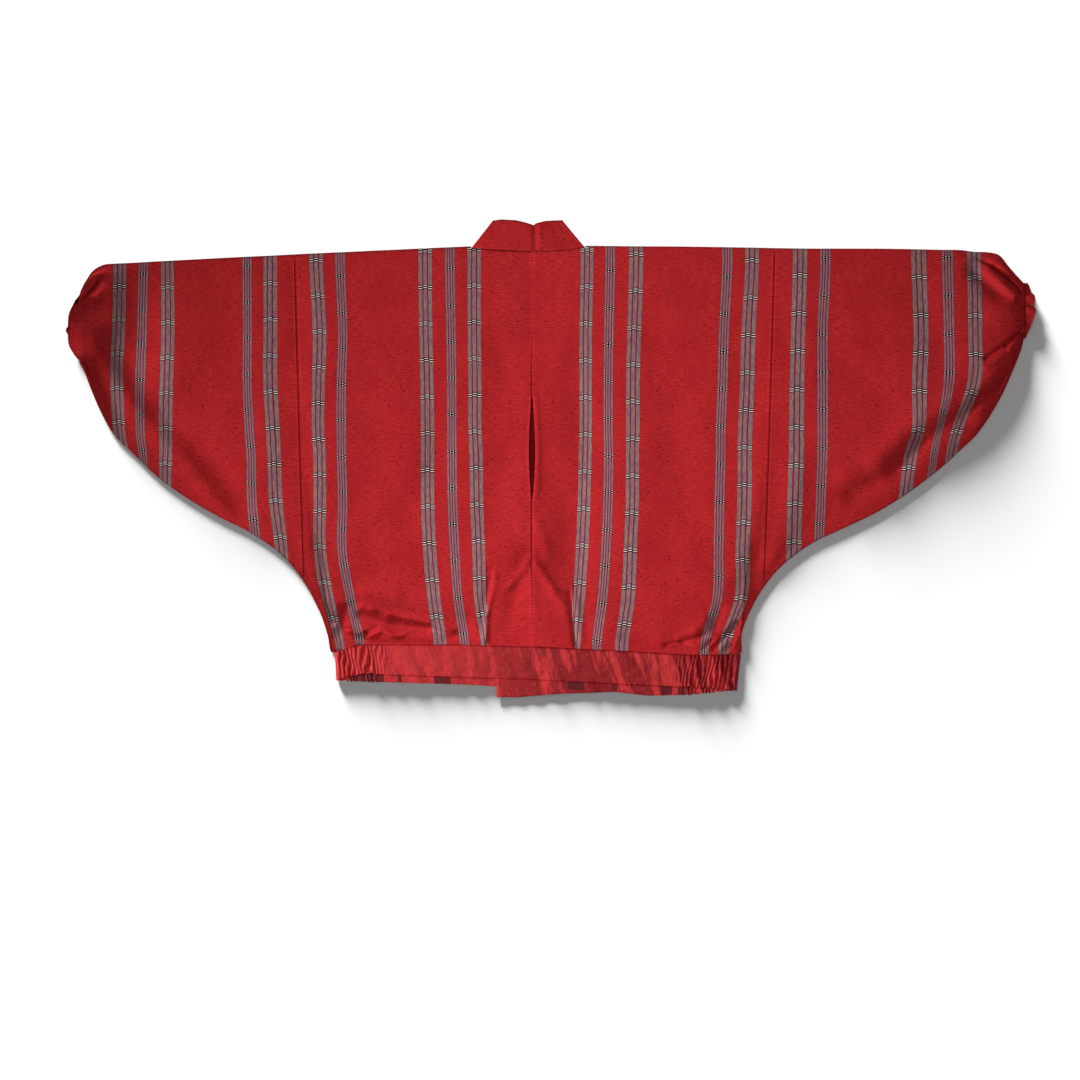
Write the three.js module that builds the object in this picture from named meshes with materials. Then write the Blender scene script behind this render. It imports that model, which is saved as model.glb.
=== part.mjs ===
// A short haori jacket of striped tsumugi, laid flat on a surface with its back up.
// Millimetres. X runs across the garment, to the right as its back is seen, Y runs up from the
// shoulder fold at the neck, and Z runs up from the surface.
import * as THREE from "three";

// Cloth
const CLOTH = 1.3; // wall of the body and the sleeves
const BAND = 2.4; // two plies: collar, hem band and cuff casings
const SEAM = 0.3; // gap between two pieces at a seam
const FOLD = 2.6; // radius of the soft fold at the shoulder and the side
const FLOOR = CLOTH / 2; // middle of a wall that lies on the surface
const FOLD_TOP = FLOOR + 2 * FOLD; // middle of the back layer where a fold begins
const BAND_FLOOR = BAND / 2;

// Fronts
const OVER = BAND + SEAM; // how far the right front is lifted by the left one under it
const OVERLAP = 51; // each front reaches this far past the centre at the hem
const COLLAR = 45.5; // finished width of the collar
const PAST = OVERLAP - COLLAR - SEAM; // each front panel passes the centre by this at the hem
const CLIMB = { from: 34, length: 24 }; // the slope on which it climbs, past the left one's edge

// Gathers
const GATHER = { pitch: 7.6, back: 1.5, front: 1.1, from: 214 };
const BAND_TURN = 3.4; // radius of the hem band's fold at the side
const CUFF = { length: 13.2, lobes: 8, lobe: 1.7, phase: 0.3 };

const CUFF_STEP = 3.4; // length of a quad round a cuff
const CUFF_UNDER = (CLOTH + BAND) / 2 + SEAM; // how far a cuff lies under a sleeve turned under

// Counts of quads along and across each piece
const COUNT = { back: 17, front: 9, fold: 3, sleeve: 11, sleeveFront: 7, cuff: 4, band: 2, collar: 3 };

const RED = { color: 0xab2228, roughness: 0.85, metalness: 0 };
const SILK = { color: 0xc03036, roughness: 0.55, metalness: 0 };

// Turns rows of numbers into objects with the named columns.
function table(names, ...rows) {
  return rows.map((row) => Object.fromEntries(row.map((value, i) => [names[i], value])));
}

// A row for each section of half the garment, from the centre back out to the cuff. A section is a
// line on the back layer from the lower outline (lowX, lowY) to the shoulder (topX, topY), with X
// measured outwards. crest is the height of the back layer at its highest, lowZ at the lower end.
const SECTION = ["topX", "topY", "lowX", "lowY", "crest", "lowZ"];
const NECK_ROW = 5; // the collar meets the shoulder fold here
const CORNER_ROW = 12; // the side seam meets the hem here
const SEAM_ROW = 15; // the sleeve is sewn to the body here
const TUCK_ROW = 3; // the waist tuck's upper ply ends here

const LEFT = table(
  SECTION,
  [0, -6, 0, -579, 17, 9.5],
  [22, -5.6, 22, -578.5, 17, 9.5],
  [44, -4.6, 44, -578, 17.5, 9.5],
  [60, -3.6, 65.5, -577.5, 18, 9.5],
  [66, -3.2, 67.5, -577.4, 18, 9.5],
  [88, 0, 84, -577, 18, 9.8],
  [120, -1, 112, -576, 19, 10],
  [155, -2.5, 148, -576, 20, 10.5],
  [195, -4.4, 184, -576, 20, 11],
  [232, -6, 217, -576, 20, 11.5],
  [268, -7.8, 246, -576.5, 20, 11],
  [300, -9.2, 268, -581, 20.5, 9],
  [322, -10.2, 289.5, -588, 21, FOLD_TOP],
  [330, -10.6, 296, -562, 21.5, FOLD_TOP],
  [337, -10.9, 308, -527, 22, FOLD_TOP],
  [345, -11.3, 334, -479, 22, FOLD_TOP],
  [376, -13, 366, -443, 22.5, FOLD_TOP],
  [411, -14.6, 409, -413, 23.5, FOLD_TOP],
  [453, -16.7, 453, -391, 24.5, FOLD_TOP],
  [496, -19, 496, -366, 25.5, FOLD_TOP],
  [540, -21.3, 540, -335, 27, FOLD_TOP],
  [580, -23.6, 580, -297, 28.5, FOLD_TOP],
  [604, -24.7, 606, -271, 29.5, FOLD_TOP],
  [621, -26.5, 624, -240, 30, FOLD_TOP],
  [636, -35, 638, -208, 30, FOLD_TOP],
  [646, -49, 647, -184, 29.5, FOLD_TOP],
  [651, -58, 651, -176, 28, FOLD_TOP],
  [655, -68, 655, -168, 25, FOLD_TOP],
  [657, -78, 657, -161, 21, FOLD_TOP],
  [657.8, -83, 657.8, -158, 17.6, FOLD_TOP],
  [658.3, -86, 658.3, -156, 15.8, FOLD_TOP],
  [660, -88.2, 660, -153.8, 14.8, FOLD_TOP],
);

const RIGHT = table(
  SECTION,
  [0, -6, 0, -579, 17, 9.5],
  [22, -5.6, 22, -580, 17, 9.5],
  [40, -4.8, 40, -581, 17.5, 9.5],
  [54, -3.8, 60, -582, 18, 9.5],
  [60, -3.4, 62, -582.2, 18, 9.5],
  [77, 0.8, 80, -583, 18, 9.8],
  [113, 0.8, 112, -584.5, 19, 10],
  [155, 0.4, 150, -586.5, 20, 10.5],
  [200, 0.2, 190, -589, 20, 11],
  [243, -0.3, 228, -591, 20, 11.5],
  [280, -0.9, 262, -591, 20, 11],
  [308, -1.3, 284, -590, 20.5, 9],
  [325, -1.6, 302.5, -589, 21, FOLD_TOP],
  [334, -1.8, 303.5, -560, 21.5, FOLD_TOP],
  [343, -2, 318, -523, 22, FOLD_TOP],
  [352.5, -2.2, 339, -488, 22, FOLD_TOP],
  [378, -2.6, 364, -460, 22.5, FOLD_TOP],
  [412, -2.9, 404, -430, 23.5, FOLD_TOP],
  [456, -2.9, 452, -407, 24.5, FOLD_TOP],
  [500, -3, 500, -384, 25.5, FOLD_TOP],
  [545, -3.6, 545, -356, 27, FOLD_TOP],
  [590, -4.6, 590, -322, 28, FOLD_TOP],
  [620, -5, 621, -294, 28.5, FOLD_TOP],
  [641, -7.6, 643, -273, 28.5, FOLD_TOP],
  [660, -8.2, 662, -247, 28, FOLD_TOP],
  [677, -12.5, 680, -216, 26.5, FOLD_TOP],
  [691, -29, 692, -190, 24, FOLD_TOP],
  [701, -40.5, 702, -166, 21, FOLD_TOP],
  [708.5, -48.5, 708.5, -149, 17.5, FOLD_TOP],
  [712.4, -52.6, 712.4, -133, 15.3, FOLD_TOP],
  [714.4, -53, 714.4, -132, 14.8, FOLD_TOP],
);

// The left sleeve puffs out over its cuff. Its back layer reaches this far past the front one, on
// the last rows of the table.
const PUFF_OVER = [4, 10, 15.5, 17, 14.5, 7, 0];

// The hem band's upper and lower edges, along the back and along each front. X is signed here.
const EDGE = ["x", "upper", "lower"];
const BAND_BACK = table(
  EDGE,
  [-285, -587.5, -628],
  [-268, -581.5, -623],
  [-246, -577, -618.5],
  [-215, -576.5, -619.5],
  [-104, -577, -623.5],
  [0, -579.5, -627],
  [112, -585.1, -632.5],
  [150, -587.1, -634.5],
  [190, -589.6, -636.3],
  [228, -591.6, -638],
  [262, -591.6, -639.5],
  [284, -590.6, -641],
  [302, -589.6, -642],
);
const BAND_LEFT = table(
  EDGE,
  [-285, -587.5, -628],
  [-240, -587.5, -630],
  [-100, -587.5, -634],
  [-50, -587.5, -637],
  [OVERLAP, -587.5, -639],
);
const BAND_RIGHT = table(
  EDGE,
  [-OVERLAP, -601, -652.5],
  [-18, -600, -652.5],
  [40, -598.2, -647.5],
  [120, -595.8, -645],
  [170, -594.3, -650.5],
  [230, -592.5, -649],
  [302, -590.4, -642],
);

// The largest folds of the back layer: soft ridges, or troughs where the height is negative, each
// along a line from (x1, y1) to (x2, y2).
const FOLDS = table(
  ["x1", "y1", "x2", "y2", "width", "height"],
  [690, -183, 620, -262, 20, -7],
  [620, -262, 505, -318, 24, -7],
  [505, -318, 425, -372, 22, -4],
  [662, -236, 540, -334, 20, 5],
  [634, -28, 684, -76, 12, -5],
  [-548, -236, -452, -366, 26, -5],
  [-640, -70, -618, -120, 22, 4],
  [-272, -536, -80, -548, 17, 5],
  [-262, -566, -118, -562, 11, -3],
  [90, -556, 250, -548, 18, 4],
  [-4, -446, -26, -520, 20, 3],
  [4, -455, 50, -528, 18, 3],
  [-40, -340, -46, -130, 30, 2.5],
  [60, -360, 40, -120, 30, 2.5],
);

// Collar: its fold lines at the two sides of the neck, and the upper edge of its back.
const COLLAR_FOLD = {
  left: { foot: [-87.2, -2], tip: [-56, 38] },
  right: { foot: [76.2, -1.5], tip: [43, 38.5] },
};
const COLLAR_TOP = table(
  ["x", "y"],
  [-56, 38],
  [-45, 39.5],
  [-24, 38.5],
  [-8, 34.8],
  [2.5, 31],
  [6, 34],
  [20, 37.5],
  [43, 38.5],
);

// Centre back: the pleat is open between these heights, this wide at its widest.
const PLEAT = { top: -212, bottom: -370, widest: -299, gape: 9.2 };
const TUCK = { left: { height: 92, step: 1.7 }, right: { height: 44, step: 1.7 } };

const lerp = THREE.MathUtils.lerp;

function smooth(low, high, value) {
  return THREE.MathUtils.smoothstep(value, low, high);
}

// The value of a column at x, straight between the rows of a table in order of x.
function column(rows, name, x, key = "x") {
  if (x <= rows[0][key]) return rows[0][name];
  for (let i = 1; i < rows.length; i += 1) {
    const [a, b] = [rows[i - 1], rows[i]];
    if (x <= b[key]) return lerp(a[name], b[name], (x - a[key]) / (b[key] - a[key]));
  }
  return rows[rows.length - 1][name];
}

// Height of the back layer at w, from 0 at the lower outline to 1 at the shoulder.
const PEAK = 0.36; // the crest lies this far up
function backHeight(section, w) {
  if (w < PEAK) {
    return lerp(section.lowZ, section.crest, Math.sin((Math.PI / 2) * (w / PEAK)));
  }
  return lerp(FOLD_TOP, section.crest, Math.cos((Math.PI / 2) * ((w - PEAK) / (1 - PEAK))));
}

// What the folds add at (x, y), fading out at both ends of each line.
function relief(x, y) {
  return FOLDS.reduce((sum, fold) => {
    const [dx, dy] = [fold.x2 - fold.x1, fold.y2 - fold.y1];
    const length = Math.hypot(dx, dy);
    const along = ((x - fold.x1) * dx + (y - fold.y1) * dy) / length;
    const across = ((x - fold.x1) * dy - (y - fold.y1) * dx) / length;
    const end = smooth(-fold.width, fold.width, along);
    const start = smooth(-fold.width, fold.width, length - along);
    return sum + fold.height * end * start * Math.exp(-((across / fold.width) ** 2));
  }, 0);
}

// An open surface made of quads whose corners are welded where they meet.
class Surface {
  constructor() {
    this.points = [];
    this.quads = [];
    this.known = new Map();
  }

  index(point) {
    const key = point.toArray().map((value) => Math.round(value * 1e4)).join();
    if (!this.known.has(key)) {
      this.known.set(key, this.points.length);
      this.points.push(point);
    }
    return this.known.get(key);
  }

  // Adds the quads between lines of points. The outer side is to the left of the lines' direction
  // as the next line is reached.
  strip(lines, closed = false) {
    for (let i = 1; i < lines.length; i += 1) {
      const [a, b] = [lines[i - 1], lines[i]];
      const last = closed ? a.length : a.length - 1;
      for (let j = 0; j < last; j += 1) {
        const k = (j + 1) % a.length;
        this.quads.push([a[j], b[j], b[k], a[k]].map((point) => this.index(point)));
      }
    }
    return this;
  }
}

// Gives a surface a wall: its points move half of it to each side, and its open edges are closed.
function wallOf(surface, thickness) {
  const triangles = surface.quads.flatMap(([a, b, c, d]) => [
    [a, b, c],
    [a, c, d],
  ]);
  const solid = triangles.filter(([a, b, c]) => a !== b && b !== c && c !== a);
  const normals = surface.points.map(() => new THREE.Vector3());
  const edges = new Map();
  for (const triangle of solid) {
    const [p, q, r] = triangle.map((i) => surface.points[i]);
    const normal = q.clone().sub(p).cross(r.clone().sub(p));
    triangle.forEach((corner, i) => {
      normals[corner].add(normal);
      const next = triangle[(i + 1) % 3];
      edges.set(`${corner},${next}`, [corner, next]);
    });
  }
  const count = surface.points.length;
  const corners = [1, -1].flatMap((side) =>
    surface.points.map((point, i) =>
      point.clone().addScaledVector(normals[i].clone().normalize(), (side * thickness) / 2),
    ),
  );
  const faces = solid.flatMap(([a, b, c]) => [a, b, c, count + a, count + c, count + b]);
  for (const [a, b] of edges.values()) {
    if (!edges.has(`${b},${a}`)) faces.push(a, count + a, count + b, a, count + b, b);
  }
  const geometry = new THREE.BufferGeometry();
  geometry.setAttribute(
    "position",
    new THREE.Float32BufferAttribute(corners.flatMap((corner) => corner.toArray()), 3),
  );
  geometry.setIndex(faces);
  return geometry;
}

function piece(name, surface, thickness, look) {
  const mesh = new THREE.Mesh(wallOf(surface, thickness), new THREE.MeshStandardMaterial(look));
  mesh.name = name;
  mesh.geometry.computeVertexNormals();
  return mesh;
}

const SIDES = {
  left: {
    sign: -1,
    rows: LEFT,
    tuck: TUCK.left,
    turnedUnder: 1,
    cuffGap: 1,
    bandEnd: 285,
    bandSlant: 2,
    collarFold: COLLAR_FOLD.left,
  },
  right: {
    sign: 1,
    rows: RIGHT,
    tuck: TUCK.right,
    turnedUnder: 0,
    cuffGap: 0.7,
    bandEnd: 302,
    bandSlant: 6,
    collarFold: COLLAR_FOLD.right,
  },
};

// Outward direction of the outline at a row's lower or upper end.
function outward(side, i, end) {
  const { rows } = side;
  const before = rows[Math.max(i - 1, 0)];
  const after = rows[Math.min(i + 1, rows.length - 1)];
  const dx = after[`${end}X`] - before[`${end}X`];
  const dy = after[`${end}Y`] - before[`${end}Y`];
  const turn = end === "top" ? 1 : -1;
  return new THREE.Vector2(-dy * turn, dx * turn).normalize();
}

// The end of the back layer at a row: on the outline, or drawn in by the radius of its fold.
function backEnd(side, i, end, folded) {
  const row = side.rows[i];
  const point = new THREE.Vector2(row[`${end}X`], row[`${end}Y`]);
  return folded ? point.addScaledVector(outward(side, i, end), -FOLD) : point;
}

// Half of the pleat's gape at y: a spindle with its widest point below the middle.
function gape(y) {
  if (y > PLEAT.top || y < PLEAT.bottom) return 0;
  const far = y > PLEAT.widest ? PLEAT.top : PLEAT.bottom;
  return (PLEAT.gape / 2) * (1 - ((y - PLEAT.widest) / (far - PLEAT.widest)) ** 2);
}

// A point of the back layer, at row i and w up from its lower end.
function backPoint(side, i, w, { lowFolded, topFolded, drop = 0 }) {
  const row = side.rows[i];
  const low = backEnd(side, i, "low", lowFolded);
  const top = backEnd(side, i, "top", topFolded);
  const bend = (1 - w) ** 2;
  const x = lerp(top.x, low.x, i < SEAM_ROW ? bend : 1 - w);
  const y = lerp(low.y, top.y, w);
  const calm = smooth(0, 0.1, w) * smooth(0, 0.08, 1 - w);
  const tip = smooth(0, 3, side.rows.length - 1 - i);
  const upperPly = i <= TUCK_ROW ? Math.max(0, i - TUCK_ROW + 2) / 2 : 0;
  const tucked = upperPly * side.tuck.step * (1 - smooth(0, side.tuck.height, y - low.y));
  const z = backHeight(row, w) + calm * tip * relief(side.sign * x, y) + tucked;
  return new THREE.Vector3(side.sign * x, y, z - drop);
}

// Points round a soft fold, from the back layer to the front one.
function foldPoints(side, i, end) {
  const row = side.rows[i];
  const out = outward(side, i, end);
  const points = [];
  for (let j = 1; j < COUNT.fold; j += 1) {
    const angle = Math.PI / 2 - (Math.PI * j) / COUNT.fold;
    const reach = FOLD * (Math.cos(angle) - 1);
    const x = row[`${end}X`] + out.x * reach;
    const y = row[`${end}Y`] + out.y * reach;
    points.push(new THREE.Vector3(side.sign * x, y, FLOOR + FOLD + FOLD * Math.sin(angle)));
  }
  return points;
}

// The left front's free edge, and how far the right front is lifted at (x, y) to lie over it.
function leftFreeEdge(y) {
  return frontEdge(SIDES.left, y) + SEAM + COLLAR;
}
function climb(x, y) {
  return OVER * (1 - smooth(CLIMB.from, CLIMB.from + CLIMB.length, x - leftFreeEdge(y)));
}

// Where a front panel ends and its collar begins, at y.
function frontEdge(side, y) {
  return side.sign * lerp(side.rows[NECK_ROW].topX, -PAST, y / side.rows[0].lowY);
}

// A point of the front layer below row i, f down from the shoulder.
function frontPoint(side, i, f) {
  const { sign, rows } = side;
  const bands = sign < 0 ? BAND_LEFT : BAND_RIGHT;
  const top = backEnd(side, i, "top", true);
  let low = backEnd(side, i, "low", true);
  if (i > CORNER_ROW) {
    const x = lerp(top.x, low.x, f);
    return new THREE.Vector3(sign * x, lerp(top.y, low.y, f), FLOOR);
  }
  const corner = backEnd(side, CORNER_ROW, "low", true);
  const neckX = rows[NECK_ROW].topX;
  const share = ((rows[i].topX - neckX) / (rows[CORNER_ROW].topX - neckX)) ** (1 + f / 2);
  if (i < CORNER_ROW) {
    const x = lerp(-PAST, corner.x, share ** (1.5 / (1 + f / 2)));
    low = new THREE.Vector2(x, column(bands, "upper", sign * x) + SEAM);
  }
  const y = lerp(top.y, low.y, f);
  const edge = sign * frontEdge(side, y);
  const outer = lerp(backEnd(side, CORNER_ROW, "top", true).x, corner.x, f);
  const x = sign * lerp(edge, outer, share);
  return new THREE.Vector3(x, y, FLOOR + (sign > 0 ? climb(x, y) : 0));
}

function steps(count) {
  return Array.from({ length: count + 1 }, (_, i) => i / count);
}

function range(first, last) {
  return Array.from({ length: last - first + 1 }, (_, i) => first + i);
}

// Rows stand closer together near the hem, where the cloth is fullest.
function backSteps(count) {
  return steps(count).map((w) => w * (0.55 + 0.45 * w));
}

// Body panel: front and back in one length of cloth, folded at the shoulder, with its side seam
// closed from the sleeve to the hem band.
function bodyPanel(name, side) {
  const surface = new Surface();
  const back = range(0, SEAM_ROW).map((i) =>
    backSteps(COUNT.back).map((w) => {
      const folds = { lowFolded: i >= CORNER_ROW, topFolded: i >= NECK_ROW };
      const point = backPoint(side, i, w, folds);
      if (i === 0) point.x = side.sign * (SEAM / 2 + gape(point.y));
      if (i === SEAM_ROW) point.x -= (side.sign * SEAM) / 2;
      return point;
    }),
  );
  const front = range(NECK_ROW, SEAM_ROW).map((i) =>
    steps(COUNT.front).map((f) => {
      const point = frontPoint(side, i, f);
      if (i === SEAM_ROW) point.x -= (side.sign * SEAM) / 2;
      return point;
    }),
  );
  const arc = (i, end, from, to) => {
    const points = foldPoints(side, i, end);
    if (i === SEAM_ROW) points.forEach((point) => (point.x -= (side.sign * SEAM) / 2));
    return [from, ...points, to];
  };
  const shoulder = range(NECK_ROW, SEAM_ROW).map((i) =>
    arc(i, "top", back[i][COUNT.back], front[i - NECK_ROW][0]),
  );
  const underarm = range(CORNER_ROW, SEAM_ROW).map((i) =>
    arc(i, "low", back[i][0], front[i - NECK_ROW][COUNT.front]).reverse(),
  );
  for (const lines of [back, shoulder, front, underarm]) {
    surface.strip(side.sign < 0 ? lines.reverse() : lines);
  }
  return piece(name, surface, CLOTH, RED);
}

// The ring of a sleeve at a row, from the underarm up the back and down the front.
function sleeveRing(side, i) {
  const over = side.sign < 0 ? PUFF_OVER[i - side.rows.length + PUFF_OVER.length] || 0 : 0;
  const back = steps(COUNT.sleeve).map((w) => {
    const point = backPoint(side, i, w, { lowFolded: true, topFolded: true });
    point.x += side.sign * over * (1 - Math.abs(2 * w - 1) ** 4.5);
    return point;
  });
  const front = steps(COUNT.sleeveFront).map((f) => frontPoint(side, i, f));
  const ring = [...back, ...foldPoints(side, i, "top"), ...front];
  ring.push(...foldPoints(side, i, "low").reverse());
  if (i === side.rows.length - 1) {
    ring.forEach((point) => point.set(side.sign * side.rows[i].topX, point.y, lifted(point.z)));
  }
  return ring;
}

// At its seam with a cuff, which is thicker, a sleeve lies a little higher.
function lifted(z) {
  return Math.max(z, BAND_FLOOR);
}

function sleeve(name, side) {
  const rings = range(SEAM_ROW, side.rows.length - 1).map((i) => sleeveRing(side, i));
  rings[0].forEach((point) => (point.x += (side.sign * SEAM) / 2));
  const surface = new Surface();
  surface.strip(side.sign < 0 ? rings.reverse() : rings, true);
  return piece(name, surface, CLOTH, RED);
}

// A sleeve's last ring with more points between its own, and how far round each of them is.
function cuffSeam(side) {
  const ring = sleeveRing(side, side.rows.length - 1);
  const points = ring.flatMap((point, i) => {
    const next = ring[(i + 1) % ring.length];
    const parts = Math.max(1, Math.round(point.distanceTo(next) / CUFF_STEP));
    return steps(parts)
      .slice(0, -1)
      .map((t) => point.clone().lerp(next, t));
  });
  const ends = points.map((point, i) => point.distanceTo(points[(i + 1) % points.length]));
  const whole = ends.reduce((sum, length) => sum + length, 0);
  let round = 0;
  return points.map((point, i) => {
    const turn = round / whole;
    round += ends[i];
    return { point, turn };
  });
}

// Cuff: an elastic casing gathered into lobes, sewn to the end of the sleeve. Where the sleeve's end
// is turned under, the casing lies under it.
function cuff(name, side) {
  const seam = cuffSeam(side);
  const end = side.rows[side.rows.length - 1];
  const middle = new THREE.Vector2((end.topY + end.lowY) / 2, FOLD_TOP);
  const halfWidth = (end.topY - end.lowY) / 2;
  const ring = (along) =>
    seam.map(({ point, turn }) => {
      const share = (point.y - middle.x) / halfWidth;
      const out = new THREE.Vector2(point.y - middle.x, point.z - middle.y).normalize();
      const under = side.turnedUnder * smooth(0, 0.3, 1 - Math.abs(share));
      const full = Math.sin(Math.PI * (0.08 + 0.6 * along)) * smooth(0, 0.2, along);
      const lobe = CUFF.lobe * full * Math.cos(2 * Math.PI * (CUFF.lobes * turn + CUFF.phase));
      const reach = CUFF.length * (1 - 0.75 * Math.abs(share) ** 3) + 0.8 * lobe;
      const x = end.topX + side.cuffGap + reach * along;
      const z = point.z + out.y * lobe - under * (CUFF_UNDER + 3 * along);
      return new THREE.Vector3(side.sign * x, point.y + out.x * lobe, lifted(z));
    });
  const rings = steps(COUNT.cuff).map(ring);
  const surface = new Surface();
  surface.strip(side.sign < 0 ? rings.reverse() : rings, true);
  return piece(name, surface, BAND, RED);
}

// The ply behind the centre pleat, made from the points of both back panels and laid under them.
function pleatUnderlay() {
  const drop = CLOTH + SEAM;
  const folds = { lowFolded: false, topFolded: false, drop };
  const line = (side, i) => backSteps(COUNT.back).map((w) => backPoint(side, i, w, folds));
  const surface = new Surface();
  surface.strip([line(SIDES.left, 1), line(SIDES.left, 0), line(SIDES.right, 1)]);
  return piece("pleat_underlay", surface, CLOTH, RED);
}

// How far the elastic gathers the hem band at x: not at all along the back, fully at the sides.
function gathered(x) {
  return smooth(GATHER.from - 10, GATHER.from + 25, Math.abs(x));
}
function gatherWave(x) {
  return gathered(x) * Math.cos((2 * Math.PI * Math.abs(x)) / GATHER.pitch);
}

// Height of the hem band along the back at x: that of the back layer, and of the band's own fold
// near the side.
function bandHeight(x) {
  const side = x < 0 ? SIDES.left : SIDES.right;
  const rows = side.rows.slice(0, CORNER_ROW).map((row) => ({ x: row.lowX, z: row.lowZ }));
  const inner = smooth(BAND_TURN, 34, side.bandEnd - Math.abs(x));
  return lerp(BAND_FLOOR + 2 * BAND_TURN, column(rows, "z", Math.abs(x)), inner);
}

// A line across the hem band at x, from its upper edge to its lower one.
function bandLine(x, edges, height) {
  const side = x < 0 ? SIDES.left : SIDES.right;
  return steps(COUNT.band).map((q) => {
    const y = lerp(column(edges, "upper", x), column(edges, "lower", x), q);
    return new THREE.Vector3(x - side.sign * side.bandSlant * q * gathered(x), y, height(x, y));
  });
}

// Places along the hem band from one x to another, four to each wave of the gathers.
function bandPlaces(from, to) {
  const way = Math.sign(to - from);
  const places = [];
  for (let x = from; way * (to - x) > 1; ) {
    places.push(x);
    x += way * (Math.abs(x) > GATHER.from - 10 ? GATHER.pitch / 4 : 17);
  }
  return [...places, to];
}

// The hem band's fold at a side, from the front up to the back.
function bandFold(side, edges) {
  return [-60, -20, 20, 60].map((degrees) => {
    const angle = THREE.MathUtils.degToRad(degrees);
    const x = side.sign * (side.bandEnd + BAND_TURN * (Math.cos(angle) - 1));
    const z = BAND_FLOOR + BAND_TURN * (1 + Math.sin(angle));
    return bandLine(x, edges, () => z);
  });
}

// Hem band: one strip from the left front, round the side, along the back and round to the right
// front, gathered by elastic at both sides.
function hemBand() {
  const { left, right } = SIDES;
  const leftEnd = BAND_TURN - left.bandEnd;
  const rightEnd = right.bandEnd - BAND_TURN;
  const onFloor = (x) => BAND_FLOOR + GATHER.front * (gathered(x) + gatherWave(x));
  const alongBack = (x) => bandHeight(x) + GATHER.back * gatherWave(x);
  const overLeft = (x, y) => onFloor(x) + climb(x, y);
  const lines = [
    ...bandPlaces(OVERLAP, leftEnd).map((x) => bandLine(x, BAND_LEFT, onFloor)),
    ...bandFold(left, BAND_LEFT),
    ...bandPlaces(leftEnd, rightEnd).map((x) => bandLine(x, BAND_BACK, alongBack)),
    ...bandFold(right, BAND_RIGHT).reverse(),
    ...bandPlaces(rightEnd, -OVERLAP).map((x) => bandLine(x, BAND_RIGHT, overLeft)),
  ];
  return piece("hem_band", new Surface().strip(lines.reverse()), BAND, SILK);
}

// A line across the collar from its seam to its free edge.
function collarLine(seam, free, height) {
  return steps(COUNT.collar).map((q) => {
    const [x, y] = [lerp(seam[0], free[0], q), lerp(seam[1], free[1], q)];
    return new THREE.Vector3(x, y, height(x, y));
  });
}

// The collar along a front, from the hem band up to its fold at the side of the neck.
function collarFront(side, radius) {
  const edges = side.sign < 0 ? BAND_LEFT : BAND_RIGHT;
  const height = (x, y) => BAND_FLOOR + (side.sign > 0 ? climb(x, y) : 0);
  const foot = (x, t) => lerp(column(edges, "upper", x) + SEAM, -4, t);
  const ends = (t) => {
    const seamX = frontEdge(side, foot(0, t)) - side.sign * SEAM;
    const freeX = seamX - side.sign * COLLAR;
    return [
      [seamX, foot(seamX, t)],
      [freeX, foot(freeX, t)],
    ];
  };
  const straight = steps(14).map((t) => collarLine(...ends(t), height));
  const [seam, free] = ends(1);
  const inset = (point) => [point[0] - side.sign * radius, point[1]];
  const [foldFoot, foldTip] = [inset(side.collarFold.foot), inset(side.collarFold.tip)];
  const toward = (a, b, t) => [lerp(a[0], b[0], t), lerp(a[1], b[1], t)];
  const swing = [0.35, 0.7, 1].map((t) =>
    collarLine(toward(seam, foldFoot, t), toward(free, foldTip, t), () => BAND_FLOOR),
  );
  return [...straight, ...swing];
}

// The collar's fold at the side of the neck, from the front up to the back.
function collarFold(side, radius) {
  const { foot, tip } = side.collarFold;
  return [-60, -20, 20, 60].map((degrees) => {
    const angle = THREE.MathUtils.degToRad(degrees);
    const reach = side.sign * radius * (Math.cos(angle) - 1);
    const z = BAND_FLOOR + radius * (1 + Math.sin(angle));
    return collarLine([foot[0] + reach, foot[1]], [tip[0] + reach, tip[1]], () => z);
  });
}

// Collar: one strip from the hem band of the left front, up round the back of the neck, where it
// stands, and down to the hem band of the right front.
function collar() {
  const { left, right } = SIDES;
  const radius = (FOLD_TOP - BAND_FLOOR) / 2;
  const across = (end, t) =>
    lerp(left.collarFold[end][0] + radius, right.collarFold[end][0] - radius, t);
  const back = steps(14).map((t) => {
    const [seamX, topX] = [across("foot", t), across("tip", t)];
    const seamY = neckline(seamX < 0 ? left.rows : right.rows, Math.abs(seamX)) + SEAM;
    const arch = FOLD_TOP + 1.6 * Math.sin(Math.PI * t);
    const crease = (x) => arch - 1.6 * Math.exp(-(((x - 5) / 6) ** 2));
    return collarLine([seamX, seamY], [topX, column(COLLAR_TOP, "y", topX)], crease);
  });
  const lines = [
    ...collarFront(left, radius),
    ...collarFold(left, radius),
    ...back,
    ...collarFold(right, radius).reverse(),
    ...collarFront(right, radius).reverse(),
  ];
  return piece("collar", new Surface().strip(lines), BAND, RED);
}

// Height of the back neck seam, x out from the centre.
function neckline(rows, x) {
  const seam = rows.slice(0, NECK_ROW + 1).map((row) => ({ x: row.topX, y: row.topY }));
  seam[NECK_ROW].y -= FOLD;
  return column(seam, "y", x);
}

const garment = new THREE.Group();
garment.name = "haori";
for (const [name, side] of Object.entries(SIDES)) {
  garment.add(bodyPanel(`body_${name}`, side));
  garment.add(sleeve(`sleeve_${name}`, side));
  garment.add(cuff(`cuff_${name}`, side));
}
garment.add(pleatUnderlay(), hemBand(), collar());

// The origin is the middle of the garment's box, on the surface that it lies on.
const box = new THREE.Box3().setFromObject(garment, true);
const centre = box.getCenter(new THREE.Vector3());
garment.position.set(-centre.x, -centre.y, -box.min.z);

export default garment;
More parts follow.
